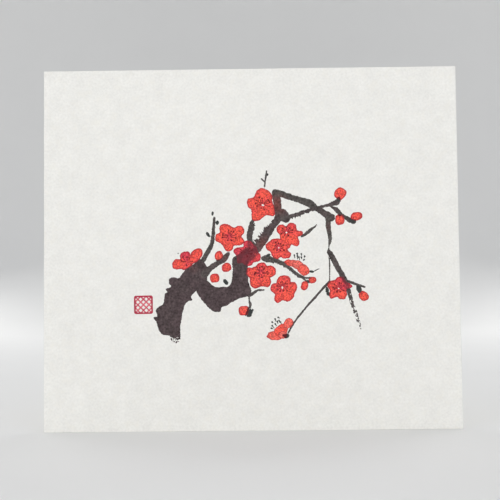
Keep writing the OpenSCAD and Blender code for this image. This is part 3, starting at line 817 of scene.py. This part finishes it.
PLY_GRID = 2.2  # spacing in millimetres of the points on a ply
EDGE_STEPS = (0, 0.12, 0.4, 1.2)  # how far the first few of them lie from a cut edge
LAYER_SHARES = (0, 0.12, 0.3, 0.5, 0.7, 0.88, 1.0)  # heights of a cut edge's points, as shares of it
ROUNDED_SHARE = 0.45  # share of a ply's thickness that its rounding takes
FIBRE_MARGIN = 6.0  # how far in millimetres a fibre starts from the board's edge
FIBRE_PROUD = 0.006  # how far in millimetres it stands out of the paper
FIBRE_PARTS = 7


def edge_lines(low, high):
    """Places from low to high: close together at both ends and evenly spread between."""
    steps = np.array(EDGE_STEPS)
    inner = np.linspace(low + steps[-1], high - steps[-1], int((high - low) / PLY_GRID))
    return np.concatenate([low + steps[:-1], inner, high - steps[:-1][::-1]])


def slab_faces(nx, ny, nz, vertex):
    """The faces of a closed box of nx by ny by nz points: front and back, bottom and top, left and right."""
    faces = []
    for i in range(nx - 1):
        for k in range(nz - 1):
            faces.append([vertex(i, 0, k), vertex(i + 1, 0, k), vertex(i + 1, 0, k + 1), vertex(i, 0, k + 1)])
            faces.append([vertex(i, ny - 1, k), vertex(i, ny - 1, k + 1),
                          vertex(i + 1, ny - 1, k + 1), vertex(i + 1, ny - 1, k)])
    for j in range(ny - 1):
        for i in range(nx - 1):
            faces.append([vertex(i, j, 0), vertex(i, j + 1, 0), vertex(i + 1, j + 1, 0), vertex(i + 1, j, 0)])
            faces.append([vertex(i, j, nz - 1), vertex(i + 1, j, nz - 1),
                          vertex(i + 1, j + 1, nz - 1), vertex(i, j + 1, nz - 1)])
        for k in range(nz - 1):
            faces.append([vertex(0, j, k), vertex(0, j, k + 1), vertex(0, j + 1, k + 1), vertex(0, j + 1, k)])
            faces.append([vertex(nx - 1, j, k), vertex(nx - 1, j + 1, k),
                          vertex(nx - 1, j + 1, k + 1), vertex(nx - 1, j, k + 1)])
    return faces


def cut_edges(data, pull, wander, seed):
    """Moves the points of a ply's cut edges inwards: by the rounding, and by a wave and a roughness."""
    x, y, z = data[:, 0], data[:, 1], data[:, 2]
    middle = (data[:, :3].min(0) + data[:, :3].max(0)) / 2
    ragged = wander * (0.5 + 0.5 * grain(y * 7 + 40, x + z, 3.0, seed))
    for axis, flag, other in ((0, data[:, 3] > 0, z), (2, data[:, 4] > 0, x)):
        side = np.full_like(other, 3.0 * axis)
        wave = wander * (0.5 + 0.5 * grain(other + 500, side, 18.0, 11 + axis))
        inward = np.sign(middle[axis] - data[:, axis])
        data[:, axis] += np.where(flag, inward * (pull + ragged * 0.6 + wave), 0.0)


def ply_object(name, node, look, rounded_front, rounded_back, seed):
    """One ply as a closed slab. Its cut edge wanders, is rounded at an arris and is sunk at a glue line."""
    low, high = (np.array(corner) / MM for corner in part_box(node))
    arris, wander, seam = look.arris / MM, look.edge_wander / MM, look.glue_line / MM
    shares = np.array(LAYER_SHARES)
    xs, zs = edge_lines(low[0], high[0]), edge_lines(low[2], high[2])
    ys = low[1] + (high[1] - low[1]) * shares
    front = arris if rounded_front else seam
    back = arris if rounded_back else seam
    inset = (front * np.clip(1 - shares / ROUNDED_SHARE, 0, 1) ** 2
             + back * np.clip(1 - (1 - shares) / ROUNDED_SHARE, 0, 1) ** 2)
    nx, ny, nz = len(xs), len(ys), len(zs)
    index, places, pull = {}, [], []

    def vertex(i, j, k):
        if (i, j, k) not in index:
            index[i, j, k] = len(places)
            places.append((xs[i], ys[j], zs[k], i in (0, nx - 1), k in (0, nz - 1)))
            pull.append(inset[j])
        return index[i, j, k]

    faces = slab_faces(nx, ny, nz, vertex)
    data = np.array(places, float)
    cut_edges(data, np.array(pull), wander, seed + 2)
    mesh = bpy.data.meshes.new(name)
    mesh.from_pydata((data[:, :3] * MM).tolist(), [], faces)
    return finish_mesh(name, mesh)


def strand(rng, half_w, half_h, start):
    """The points and faces of one fibre, a thin closed strand that bends. start is its first number."""
    length, turn = rng.uniform(3, 9), rng.uniform(0, 2 * math.pi)
    bend, width = rng.normal(0, 0.16), rng.uniform(0.03, 0.06)
    x = rng.uniform(FIBRE_MARGIN - half_w, half_w - FIBRE_MARGIN)
    z = rng.uniform(FIBRE_MARGIN - half_h, half_h - FIBRE_MARGIN)
    places, faces = [], []
    for k in range(FIBRE_PARTS + 1):
        swell = width * (0.25 + 0.75 * math.sin(math.pi * k / FIBRE_PARTS))
        left = (-math.sin(turn) * swell, math.cos(turn) * swell)
        places += [(x + left[0], SUNK, z + left[1]), (x, -FIBRE_PROUD, z), (x - left[0], SUNK, z - left[1])]
        x += math.cos(turn) * length / FIBRE_PARTS
        z += math.sin(turn) * length / FIBRE_PARTS
        turn += bend + rng.normal(0, 0.06)
    for k in range(FIBRE_PARTS):
        a, b = start + 3 * k, start + 3 * k + 3
        faces += [[a + 1, a, b, b + 1], [a + 2, a + 1, b + 1, b + 2], [a, a + 2, b + 2, b]]
    end = start + 3 * FIBRE_PARTS
    faces += [[start, start + 1, start + 2], [end + 2, end + 1, end]]
    return places, faces


def fibres_object(name, look):
    """The long fibres that lie in the face paper."""
    rng = np.random.default_rng(5)
    half_w, half_h = (FACE_HIGH.x - FACE_LOW.x) / 2 / MM, (FACE_HIGH.z - FACE_LOW.z) / 2 / MM
    places, faces = [], []
    for _ in range(look.fibre_count):
        more_places, more_faces = strand(rng, half_w, half_h, len(places))
        places += more_places
        faces += more_faces
    places = [(x * MM + CENTRE_X, y * MM + FRONT_Y, z * MM + CENTRE_Z) for x, y, z in places]
    mesh = bpy.data.meshes.new(name)
    mesh.from_pydata(places, [], faces)
    return finish_mesh(name, mesh, sharp=180.0)


# ---------------------------------------------------------------------------------------------
# The painting
# ---------------------------------------------------------------------------------------------

# The paper that the painting covers, and the order in which its marks were laid down. A later mark
# stands a hair higher, so that it lies over the earlier ones.
PAINTED = (-70, -66, 80, 56)
STEP_UP = 0.0012
PETAL_RISE = 0.006  # how much higher petals stand than ink would
DAB_RISE = 0.01  # how much higher dark dabs stand
LOBE_RIM = 0.3  # added to the distance from a side-view lobe's edge, so that its rim is weaker
BUD_WATER = 0.3  # how much less red the thinned pigment of the buds is
MARGIN = 2.5  # room left around a mark for its ragged edge
OUTLINED = {"trunk_stroke": TRUNK, "elbow_stroke": ELBOW}
INK_STROKES = [*OUTLINED, *STROKES, *TOUCHES]
ORDER = [*INK_STROKES, *BLOSSOMS, *LOBED, "buds", "moss_dots", "calyx_dabs"]
DRY_FOOT = (55.5, 62)  # how far below the middle the trunk's foot starts to run dry, and is driest
painting = {}


def canvas_for(look):
    """The one canvas that all films share, with the field of all the ink on it."""
    if "canvas" not in painting:
        canvas = Canvas(*PAINTED, look.grid / MM)
        painting.update(canvas=canvas, ink=canvas.bare(), petals=canvas.bare(), fields={})
        for name in INK_STROKES:
            piece, field, load = ink_field(name)
            painting["fields"][name] = (piece, field, load)
            lay_on(painting["ink"], piece, field)
    return painting["canvas"]


def ragged_edge(x, z, seed):
    """How a brushed edge strays, in millimetres."""
    return 0.34 * rough(x, z, 2.4, seed) + 0.2 * grain(x, z, 0.55, seed + 7)


def brushed(x, z, rows, side, seed):
    """The field of one touch of the brush, broken up where it ran dry, and how much ink it left."""
    field, along, across, dry = stroke_field(x, z, rows)
    field = field + ragged_edge(x, z, seed) * np.clip(np.array(rows)[:, 2].max() / 1.2, 0.35, 1.0)
    if side:
        edge = ease(side * across, -0.1, 0.9)
        teeth = np.clip(0.5 + 0.9 * grain(along, across * 0.4, 0.6, seed + 3), 0, 1)
        specks = 0.66 + 0.55 * grain(x, z, 0.6, seed + 4) + 0.3 * grain(along, across, 1.4, seed + 5)
        field = np.minimum(field - 2.2 * teeth * dry * edge, specks - 0.75 * dry * edge)
        return field, np.clip(1 - 0.5 * dry * edge, 0, 1)
    width = across * np.array(rows)[:, 2].mean()
    bristles = 0.7 * grain(along, width * 5, 2.4, seed + 4) + grain(x, z, 0.75, seed + 5)
    gaps = (bristles + 1.45 - 2.0 * dry) * 0.7
    field = np.where(dry > 0.02, np.minimum(field, gaps), field)
    return field, np.clip(1 - 0.8 * dry + 0.3 * bristles * dry, 0, 1)


def dry_foot(piece, field, seed):
    """The trunk's field and load, broken up at its foot, where the brush ran dry."""
    low = ease(-piece.z, *DRY_FOOT)
    clumps = grain(piece.x, piece.z, 0.9, seed + 1) + 0.6 * grain(piece.x, piece.z, 0.45, seed + 2)
    broken = np.where(low > 0, (clumps + 1.5 - 1.9 * low) * 0.8, -BARE)
    return np.minimum(field + 1.4 * low, broken), 1 - 0.3 * low


def ink_field(name):
    """The window, field and load of an ink stroke."""
    canvas = painting["canvas"]
    seed = 100 + 13 * ORDER.index(name)
    if name in OUTLINED:
        piece = canvas.part_round(OUTLINED[name], MARGIN)
        field = outline_field(piece.x, piece.z, OUTLINED[name]) + ragged_edge(piece.x, piece.z, seed)
        if name == "trunk_stroke":
            return piece, *dry_foot(piece, field, seed)
        return piece, field, np.ones(field.shape)
    spec = STROKES.get(name) or TOUCHES[name]
    touches = [spec["rows"]] if "rows" in spec else spec["touches"]
    reach = np.concatenate([np.array(rows) for rows in touches])
    piece = canvas.part_round(reach, reach[:, 2].max() + MARGIN)
    field, load = piece.bare(), np.ones(piece.x.shape)
    for number, rows in enumerate(touches):
        one, ink = brushed(piece.x, piece.z, rows, spec["side"], seed + 31 * number)
        load = np.where(one > field, ink, load)
        field = np.maximum(field, one)
    return piece, field, load


def film_height(name, field, extra=0.0):
    """How high a film stands, in millimetres: it rises quickly from its edge to its own level."""
    level = bpy.context.scene.artboard_ink.film / MM + STEP_UP * ORDER.index(name) + extra
    return level * ease(field, -0.02, 0.28) + 0.004 * ease(field, 0.0, 0.5)


def blush_on(piece):
    """How much red pigment ran into the ink."""
    blush = np.zeros(piece.x.shape)
    for x, z, radius, strength in BLUSHES:
        blush = np.maximum(blush, strength * ease(-np.hypot(piece.x - x, piece.z - z), -radius, 0))
    return np.clip(blush * (1 + 0.5 * rough(piece.x, piece.z, 2.5, 78)), 0, 1)


def build_ink(name, material):
    """The film of one ink stroke."""
    piece, field, load = painting["fields"][name]
    cool = {**STROKES, **TOUCHES}.get(name, {"cool": 0.0})["cool"]
    depth = np.clip(painting["ink"][piece.window], 0, 3)
    drift = np.clip(cool + 0.25 * rough(piece.x, piece.z, 9.0, 77), 0, 1)
    made = film_object("paint_" + name, piece, field, film_height(name, field),
                       {"edge": depth, "load": load, "cool": drift, "blush": blush_on(piece)})
    return settle(made, name, material)


def under_ink(piece):
    """How much of the ink below shows through a petal."""
    cloud = 0.92 + 0.25 * rough(piece.x, piece.z, 2.5, 555)
    return np.clip(ease(painting["ink"][piece.window], -0.4, 0.9) * cloud, 0, 1)


def petal_stack(piece, lobes, seed):
    """The joint field of overlapping lobes, the distance to the edge of the uppermost one, and its number.

    The edge of a lobe that lies on another one shows faintly, apart from the last lobe's edge."""
    field, rim = piece.bare(), np.zeros(piece.x.shape)
    number = np.zeros(piece.x.shape, int)
    for k, lobe in enumerate(lobes):
        one = oval_field(piece.x, piece.z, *lobe, 2.2) + 0.55 * rough(piece.x, piece.z, 3.0, seed + 5 * k)
        one = one + 0.14 * grain(piece.x, piece.z, 0.6, seed + k)
        rim = np.where(one > 0, one, rim)
        number = np.where(one > 0, k, number)
        field = np.maximum(field, one)
    faint = np.minimum(field, np.maximum(rim, 0.32))
    return field, np.where(number == len(lobes) - 1, rim, faint), number


def petal_film(name, piece, field, rim, heat, material):
    """One film of petal pigment. rim is the distance from a petal's edge, and heat its redness."""
    lay_on(painting["petals"], piece, field)
    made = film_object("paint_" + name, piece, field, film_height(name, field, PETAL_RISE),
                       {"rim": np.clip(rim, 0, 2), "redness": heat, "under": under_ink(piece)})
    return settle(made, name, material)


def blossom_reach(spec):
    """The mean distance of a blossom's outline from its heart."""
    return np.hypot(*(np.array(spec["outline"], float) - spec["heart"]).T).mean()


def build_blossom(name, material):
    """A blossom that shows its heart: one film whose petals differ in hue and part at faint creases."""
    spec = BLOSSOMS[name]
    seed = 400 + 17 * ORDER.index(name)
    piece = painting["canvas"].part_round(spec["outline"], MARGIN)
    field = outline_field(piece.x, piece.z, spec["outline"]) + 0.25
    field = field + 0.3 * rough(piece.x, piece.z, 1.8, seed) + 0.14 * grain(piece.x, piece.z, 0.6, seed + 5)
    off_x, off_z = piece.x - spec["heart"][0], piece.z - spec["heart"][1]
    away, turn = np.hypot(off_x, off_z), np.degrees(np.arctan2(off_z, off_x))
    share = away / blossom_reach(spec)
    gaps = np.array([np.abs((turn - angle + 180) % 360 - 180) for angle, _ in spec["petals"]])
    nearest, second = np.sort(gaps, axis=0)[:2]
    crease = away * np.sin(np.radians((second - nearest) / 2)) + 0.35 * grain(piece.x, piece.z, 1.6, seed + 7)
    inner_rim = 0.42 + 1.6 * np.abs(crease) + 1.2 * ease(-share, -0.75, -0.4)
    rim = np.minimum(np.clip(field, 0, None), inner_rim)
    weights = np.exp(-(gaps / 22) ** 2) + 1e-9
    heats = np.array([heat for _, heat in spec["petals"]])[:, None, None]
    heat = (weights * heats).sum(0) / weights.sum(0) + spec["glow"] * ease(-share, -0.52, -0.1)
    if spec["eye"]:
        eye = away - spec["eye"] * (1 + 0.5 * grain(piece.x, piece.z, 0.6, seed + 9))
        field = np.minimum(field, eye)
    return petal_film(name, piece, field, rim, np.clip(heat, 0, 1), material)


def build_lobed(name, material):
    """A blossom seen from the side: overlapping lobes with weaker rims than a petal's."""
    spec = LOBED[name]
    seed = 700 + 17 * ORDER.index(name)
    piece = painting["canvas"].part_round(spec["lobes"], 8)
    field, rim, number = petal_stack(piece, spec["lobes"], seed)
    warm = np.array([0.2 * math.sin(seed + 1.7 * k) for k in range(len(spec["lobes"]))])
    heat = np.clip(spec["heat"] + warm[number], -0.5, 1)
    return petal_film(name, piece, field, rim + LOBE_RIM, heat, material)


def build_buds(material):
    """All the buds as one film."""
    canvas = painting["canvas"]
    field, rim = canvas.bare(), np.zeros(canvas.x.shape)
    heat = np.zeros(canvas.x.shape)
    for k, (x, z, half_length, half_width, angle, warmth) in enumerate(BUDS):
        piece = canvas.part_round([(x, z)], 6)
        one = oval_field(piece.x, piece.z, x, z, half_length, half_width, angle, 2.3)
        one = one + 0.5 * rough(piece.x, piece.z, 2.6, 900 + 5 * k)
        warm = warmth + 0.25 * grain(piece.x, piece.z, 2.5, 950 + k)
        rim[piece.window] = np.where(one > 0, one, rim[piece.window])
        heat[piece.window] = np.where(one > field[piece.window], warm, heat[piece.window])
        lay_on(field, piece, one)
    return petal_film("buds", canvas, field, rim, np.clip(heat - BUD_WATER, -0.5, 1), material)


def dab_film(name, dabs, material, seed):
    """A group of dark dabs as one piece."""
    canvas = painting["canvas"]
    field = canvas.bare()
    for k, (x, z, half_length, half_width, angle) in enumerate(dabs):
        piece = canvas.part_round([(x, z)], 4)
        one = oval_field(piece.x, piece.z, x, z, half_length, half_width, angle)
        lay_on(field, piece, one + 0.3 * min(half_width, 1) * rough(piece.x, piece.z, 1.4, seed + 5 * k))
    made = film_object("paint_" + name, canvas, field, film_height(name, field, DAB_RISE),
                       {"edge": np.clip(field, 0, 2), "over": ease(painting["petals"], -0.1, 0.5)})
    return settle(made, name, material)


HAIR_GRID = 0.1  # a finer grid, for strands and for the seal
HAIR_LEVEL = 0.12  # how high the strands stand, above the petals


def hair_film(name, hairs, dots, material, level):
    """Fine strands, each a spine of rows, and round dots, as one piece on a finer grid."""
    reach = np.array([row[:2] for rows in hairs for row in rows] + [dot[:2] for dot in dots])
    canvas = Canvas(*(reach.min(0) - 1.5), *(reach.max(0) + 1.5), HAIR_GRID)
    field = canvas.bare()
    for number, rows in enumerate(hairs):
        piece = canvas.part_round(rows, 1)
        hair = stroke_field(piece.x, piece.z, rows)[0]
        lay_on(field, piece, hair + 0.05 * grain(piece.x, piece.z, 0.4, number))
    for number, (x, z, radius) in enumerate(dots):
        piece = canvas.part_round([(x, z)], 1.2)
        dot = radius - np.hypot(piece.x - x, piece.z - z)
        lay_on(field, piece, dot + 0.1 * grain(piece.x, piece.z, 0.5, 50 + number))
    height = level * ease(field, -0.02, 0.12) + 0.01 * ease(field, 0.05, 0.3)
    made = film_object("paint_" + name, canvas, field, height, {"edge": np.clip(field, 0, 1)})
    return settle(made, name, material)


def blossom_stamens(spec, more, seed):
    """Stamen spines and anther dots of one blossom: long ones fan out upwards, short ones hang below."""
    rng = np.random.default_rng(seed)
    hx, hz = spec["heart"]
    reach = blossom_reach(spec)
    count = spec["stamens"] + more
    low = max(count // 4, 1)
    leans = [(-25 + 230 * (k + 0.5) / (count - low), rng.uniform(0.4, 0.56)) for k in range(count - low)]
    leans += [(-150 + 110 * (k + 0.5) / low, rng.uniform(0.24, 0.34)) for k in range(low)]
    hairs, dots = [], []
    for degrees, share in leans:
        lean = math.radians(degrees + rng.uniform(-7, 7))
        length = reach * share
        start = max(spec["eye"], 0.6) + rng.uniform(0.2, 1.3)
        bend = rng.normal(0, 0.12)
        rows = []
        for t in (0.0, 0.5, 1.0):
            away, aim = start + (length - start) * t, lean + bend * t
            rows.append((hx + away * math.cos(aim), hz + away * math.sin(aim), 0.26 - 0.08 * t, 0.0))
        hairs.append(rows)
        tip_x, tip_z = rows[-1][:2]
        dots.append((tip_x + rng.normal(0, 0.2), tip_z + rng.normal(0, 0.2), rng.uniform(0.46, 0.7)))
    return hairs, dots


def seal_field(x, z, wear):
    """The field of the seal: a rounded border around a plain diagonal trellis, with worn places."""
    c, s = math.cos(SEAL_TURN), math.sin(SEAL_TURN)
    u = (x - SEAL_X) * c + (z - SEAL_Z) * s
    v = (z - SEAL_Z) * c - (x - SEAL_X) * s

    def block(inset):
        du = np.abs(u) - (SEAL_W / 2 - inset - SEAL_CORNER)
        dv = np.abs(v) - (SEAL_H / 2 - inset - SEAL_CORNER)
        beyond = np.hypot(np.maximum(du, 0), np.maximum(dv, 0))
        return SEAL_CORNER - beyond - np.minimum(np.maximum(du, dv), 0)

    border = np.minimum(block(0.0), -block(SEAL_BORDER))
    trellis = np.full(x.shape, BARE)
    for diagonal in ((u + v) / math.sqrt(2), (u - v) / math.sqrt(2)):
        off = np.abs((diagonal + SEAL_PITCH / 2) % SEAL_PITCH - SEAL_PITCH / 2)
        trellis = np.maximum(trellis, SEAL_LINE / 2 - off)
    uneven = 0.35 * rough(x, z, 1.8, 811) + 0.2 * grain(x, z, 0.35, 812)
    inner = np.minimum(trellis, block(SEAL_BORDER / 2)) + wear * uneven
    load = 0.2 + 0.8 * ease(border, -0.3, 0.2) + 0.5 * rough(x, z, 2.2, 813)
    return np.maximum(border + 0.5 * wear * uneven, inner), np.clip(load, 0, 1)


# ---------------------------------------------------------------------------------------------
# Operators
# ---------------------------------------------------------------------------------------------

class ARTBOARD_OT_plies(bpy.types.Operator):
    """Builds the backing paper and the three core plies"""
    bl_idname = "artboard.plies"
    bl_label = "Back and core plies"

    def execute(self, context):
        look = context.scene.artboard_board
        core = core_material(tuple(look.core))
        back = paper_material("back_sheet", tuple(look.back), 0.035, laid=0.02)
        for number, node in enumerate(UNDER_PLIES):
            is_back = node == "back_paper"
            piece = ply_object("cut_" + node, node, look, False, is_back, 20 + number)
            settle(piece, node, back if is_back else core)
        return {"FINISHED"}


class ARTBOARD_OT_face(bpy.types.Operator):
    """Builds the face paper and the long fibres in it"""
    bl_idname = "artboard.face"
    bl_label = "Face paper"

    def execute(self, context):
        look = context.scene.artboard_board
        paper = paper_material("face_sheet", tuple(look.paper), 0.12)
        sheet = ply_object("cut_face_paper", "face_paper", look, True, False, 30)
        settle(sheet, "face_paper", paper)
        settle(fibres_object("face_fibres", look), None, fibre_material(tuple(look.paper)))
        return {"FINISHED"}


class ARTBOARD_OT_branch(bpy.types.Operator):
    """Brushes the branch: trunk, elbow, bough, forks and twigs"""
    bl_idname = "artboard.branch"
    bl_label = "Branch strokes"

    def execute(self, context):
        look = context.scene.artboard_ink
        canvas_for(look)
        ink = ink_material(tuple(look.warm), tuple(look.grey))
        for name in INK_STROKES:
            build_ink(name, ink)
        return {"FINISHED"}


class ARTBOARD_OT_blossoms(bpy.types.Operator):
    """Brushes the blossoms, front view, slanted and side view, and the buds"""
    bl_idname = "artboard.blossoms"
    bl_label = "Blossoms and buds"

    def execute(self, context):
        canvas_for(context.scene.artboard_ink)
        pigment = petal_material(context.scene.artboard_blossom)
        for name in BLOSSOMS:
            build_blossom(name, pigment)
        for name in LOBED:
            build_lobed(name, pigment)
        build_buds(pigment)
        return {"FINISHED"}


class ARTBOARD_OT_dabs(bpy.types.Operator):
    """Adds the moss dots on the twigs and the calyxes under the buds"""
    bl_idname = "artboard.dabs"
    bl_label = "Dots and calyxes"

    def execute(self, context):
        look = context.scene.artboard_ink
        canvas_for(look)
        ink = dark_material("dab_ink", tuple(look.dab))
        dab_film("moss_dots", MOSS, ink, 1000)
        dab_film("calyx_dabs", CALYXES, ink, 1100)
        return {"FINISHED"}


class ARTBOARD_OT_stamens(bpy.types.Operator):
    """Draws the stamens and anthers, on the petals and clear of the side-view blossoms"""
    bl_idname = "artboard.stamens"
    bl_label = "Stamens"

    def execute(self, context):
        ink = context.scene.artboard_ink
        more = context.scene.artboard_blossom.more_stamens
        on_petals = dark_material("stamen_ink", tuple(ink.hair))
        clear = dark_material("clear_stamen_ink", tuple(ink.dab))
        hairs, dots = [], []
        for number, spec in enumerate(BLOSSOMS.values()):
            own_hairs, own_dots = blossom_stamens(spec, more, 60 + number)
            hairs += own_hairs
            dots += own_dots
        hair_film("stamens", hairs, [], on_petals, HAIR_LEVEL)
        stubs = [[(x, z, r * 0.6, 0), (x + 0.1, z, r * 0.6, 0)] for x, z, r in dots]
        hair_film("anthers", stubs, dots, on_petals, HAIR_LEVEL + 0.01)
        strands = [[(x0, z0, 0.28, 0), ((x0 + x1) / 2, (z0 + z1) / 2, 0.3, 0), (x1, z1, 0.36, 0)]
                   for x0, z0, x1, z1 in CLEAR_STAMENS]
        tips = [(x1, z1, 0.6) for _, _, x1, z1 in CLEAR_STAMENS]
        hair_film("side_stamens", strands, tips, clear, HAIR_LEVEL - 0.03)
        return {"FINISHED"}


class ARTBOARD_OT_seal(bpy.types.Operator):
    """Presses the red seal: a border and a plain trellis"""
    bl_idname = "artboard.seal"
    bl_label = "Seal"

    def execute(self, context):
        look = context.scene.artboard_seal
        room = 7.5
        canvas = Canvas(SEAL_X - room, SEAL_Z - room, SEAL_X + room, SEAL_Z + room, HAIR_GRID)
        field, load = seal_field(canvas.x, canvas.z, look.wear)
        height = 0.03 * ease(field, -0.02, 0.15) + 0.01 * load
        made = film_object("seal_print", canvas, field, height, {"load": load})
        settle(made, "seal_impression", paste_material(tuple(look.paste)))
        return {"FINISHED"}


# Each lamp's name, place and side in metres, and watts
LAMPS = (
    ("key", (-1.3, -1.6, 0.5), 1.2, 8.2), ("fill", (1.3, -1.6, 0.5), 1.2, 4.4),
    ("front", (0.0, -2.3, 0.3), 0.8, 8.8), ("overhead", (0.0, -0.3, 2.5), 3.2, 28.0),
    ("back_left", (-1.3, 1.4, 0.5), 1.2, 12.0), ("back_right", (1.3, 1.4, 0.5), 1.2, 13.0),
)
LAMP_COLOUR = (1.0, 0.995, 0.98)
SKY_COLOUR = (0.9, 0.93, 1.0, 1.0)
SKY_STRENGTH = 0.36
FLOOR_SIDES = 96
WALL_HEIGHT = 0.4  # how far in metres the wall goes on above the cove
SENSOR_WIDTH = 36.0
AIM_OFF_X, AIM_OFF_Z = -0.7, -1.25  # where the camera aims, in millimetres from the face's centre


class ARTBOARD_OT_stage(bpy.types.Operator):
    """Sets up the pale floor with its cove, the soft lights and the camera"""
    bl_idname = "artboard.stage"
    bl_label = "Stage, lights and camera"

    def execute(self, context):
        look = context.scene.artboard_stage
        self.build_floor(look)
        self.build_lights(context, look)
        self.place_camera(context, look)
        return {"FINISHED"}

    def build_floor(self, look):
        """A flat round floor that turns up all round into a wall, so that no edge of it shows."""
        radius, bend = look.floor_radius, look.cove_radius
        profile = [(radius * k / 8, 0.0) for k in range(1, 9)]
        for turn in np.linspace(0.1, math.pi / 2, 14):
            profile.append((radius + bend * math.sin(turn), bend * (1 - math.cos(turn))))
        profile.append((radius + bend, bend + WALL_HEIGHT))
        places, faces = [(0.0, 0.0, FACE_LOW.z)], []
        for out, up in profile:
            for k in range(FLOOR_SIDES):
                turn = 2 * math.pi * k / FLOOR_SIDES
                places.append((out * math.cos(turn), out * math.sin(turn), FACE_LOW.z + up))
        for k in range(FLOOR_SIDES):
            after = (k + 1) % FLOOR_SIDES
            faces.append([0, 1 + k, 1 + after])
            for ring in range(len(profile) - 1):
                a, b = 1 + ring * FLOOR_SIDES, 1 + (ring + 1) * FLOOR_SIDES
                faces.append([a + k, b + k, b + after, a + after])
        mesh = bpy.data.meshes.new("floor")
        mesh.from_pydata(places, [], faces)
        floor = finish_mesh("floor", mesh, sharp=180.0)
        floor.data.materials.append(floor_material(tuple(look.floor)))

    def build_lights(self, context, look):
        """Large soft lamps around the board, the brightest at the front left, and a faint even sky."""
        for name, place, size, power in LAMPS:
            lamp = bpy.data.lights.new(name, "AREA")
            lamp.size = size
            lamp.energy = power * look.light
            lamp.color = LAMP_COLOUR
            holder = bpy.data.objects.new(name, lamp)
            holder.location = place
            holder.rotation_euler = (-Vector(place)).to_track_quat("-Z", "Y").to_euler()
            holder.visible_camera = False
            context.scene.collection.objects.link(holder)
        world = bpy.data.worlds.new("sky")
        world.use_nodes = True
        background = world.node_tree.nodes["Background"]
        background.inputs["Color"].default_value = SKY_COLOUR
        background.inputs["Strength"].default_value = SKY_STRENGTH
        context.scene.world = world
        context.scene.view_settings.view_transform = "Standard"

    def place_camera(self, context, look):
        """The camera looks at the painted face, a little from below and from the right."""
        turn = Matrix.Rotation(look.azimuth, 3, "Z") @ Matrix.Rotation(-look.elevation, 3, "X")
        forward, right, up = turn @ Vector((0, 1, 0)), turn @ Vector((1, 0, 0)), turn @ Vector((0, 0, 1))
        c, s = math.cos(look.roll), math.sin(look.roll)
        right, up = c * right + s * up, c * up - s * right
        aim = Vector((CENTRE_X + AIM_OFF_X * MM, FRONT_Y, CENTRE_Z + AIM_OFF_Z * MM))
        data = bpy.data.cameras.new("camera")
        data.lens = look.lens
        data.sensor_width = SENSOR_WIDTH
        data.clip_start = 0.01
        camera = bpy.data.objects.new("camera", data)
        context.scene.collection.objects.link(camera)
        basis = Matrix((right, up, -forward)).transposed().to_4x4()
        camera.matrix_world = Matrix.Translation(aim - forward * look.distance) @ basis
        context.scene.camera = camera


class ARTBOARD_PT_panel(bpy.types.Panel):
    """Lists the build steps and their settings"""
    bl_idname = "ARTBOARD_PT_panel"
    bl_label = "Painted Art Board"
    bl_space_type = "VIEW_3D"
    bl_region_type = "UI"
    bl_category = "Art Board"

    def draw(self, context):
        for operator in OPERATORS:
            self.layout.operator(operator.bl_idname, text=operator.bl_label)
        for holder, group in SETTINGS.items():
            box = self.layout.box()
            for key in group.__annotations__:
                box.prop(getattr(context.scene, holder), key)


SETTINGS = {
    "artboard_board": BoardSettings, "artboard_ink": InkSettings, "artboard_blossom": BlossomSettings,
    "artboard_seal": SealSettings, "artboard_stage": StageSettings,
}
OPERATORS = (
    ARTBOARD_OT_stage, ARTBOARD_OT_plies, ARTBOARD_OT_face, ARTBOARD_OT_branch, ARTBOARD_OT_blossoms,
    ARTBOARD_OT_dabs, ARTBOARD_OT_stamens, ARTBOARD_OT_seal,
)
CLASSES = (*SETTINGS.values(), *OPERATORS, ARTBOARD_PT_panel)


def register():
    for one in CLASSES:
        bpy.utils.register_class(one)
    for holder, group in SETTINGS.items():
        setattr(bpy.types.Scene, holder, PointerProperty(type=group))


def unregister():
    for holder in SETTINGS:
        delattr(bpy.types.Scene, holder)
    for one in reversed(CLASSES):
        bpy.utils.unregister_class(one)


def main():
    register()
    for operator in OPERATORS:
        group, step = operator.bl_idname.split(".")
        getattr(getattr(bpy.ops, group), step)()


if __name__ == "__main__":
    main()
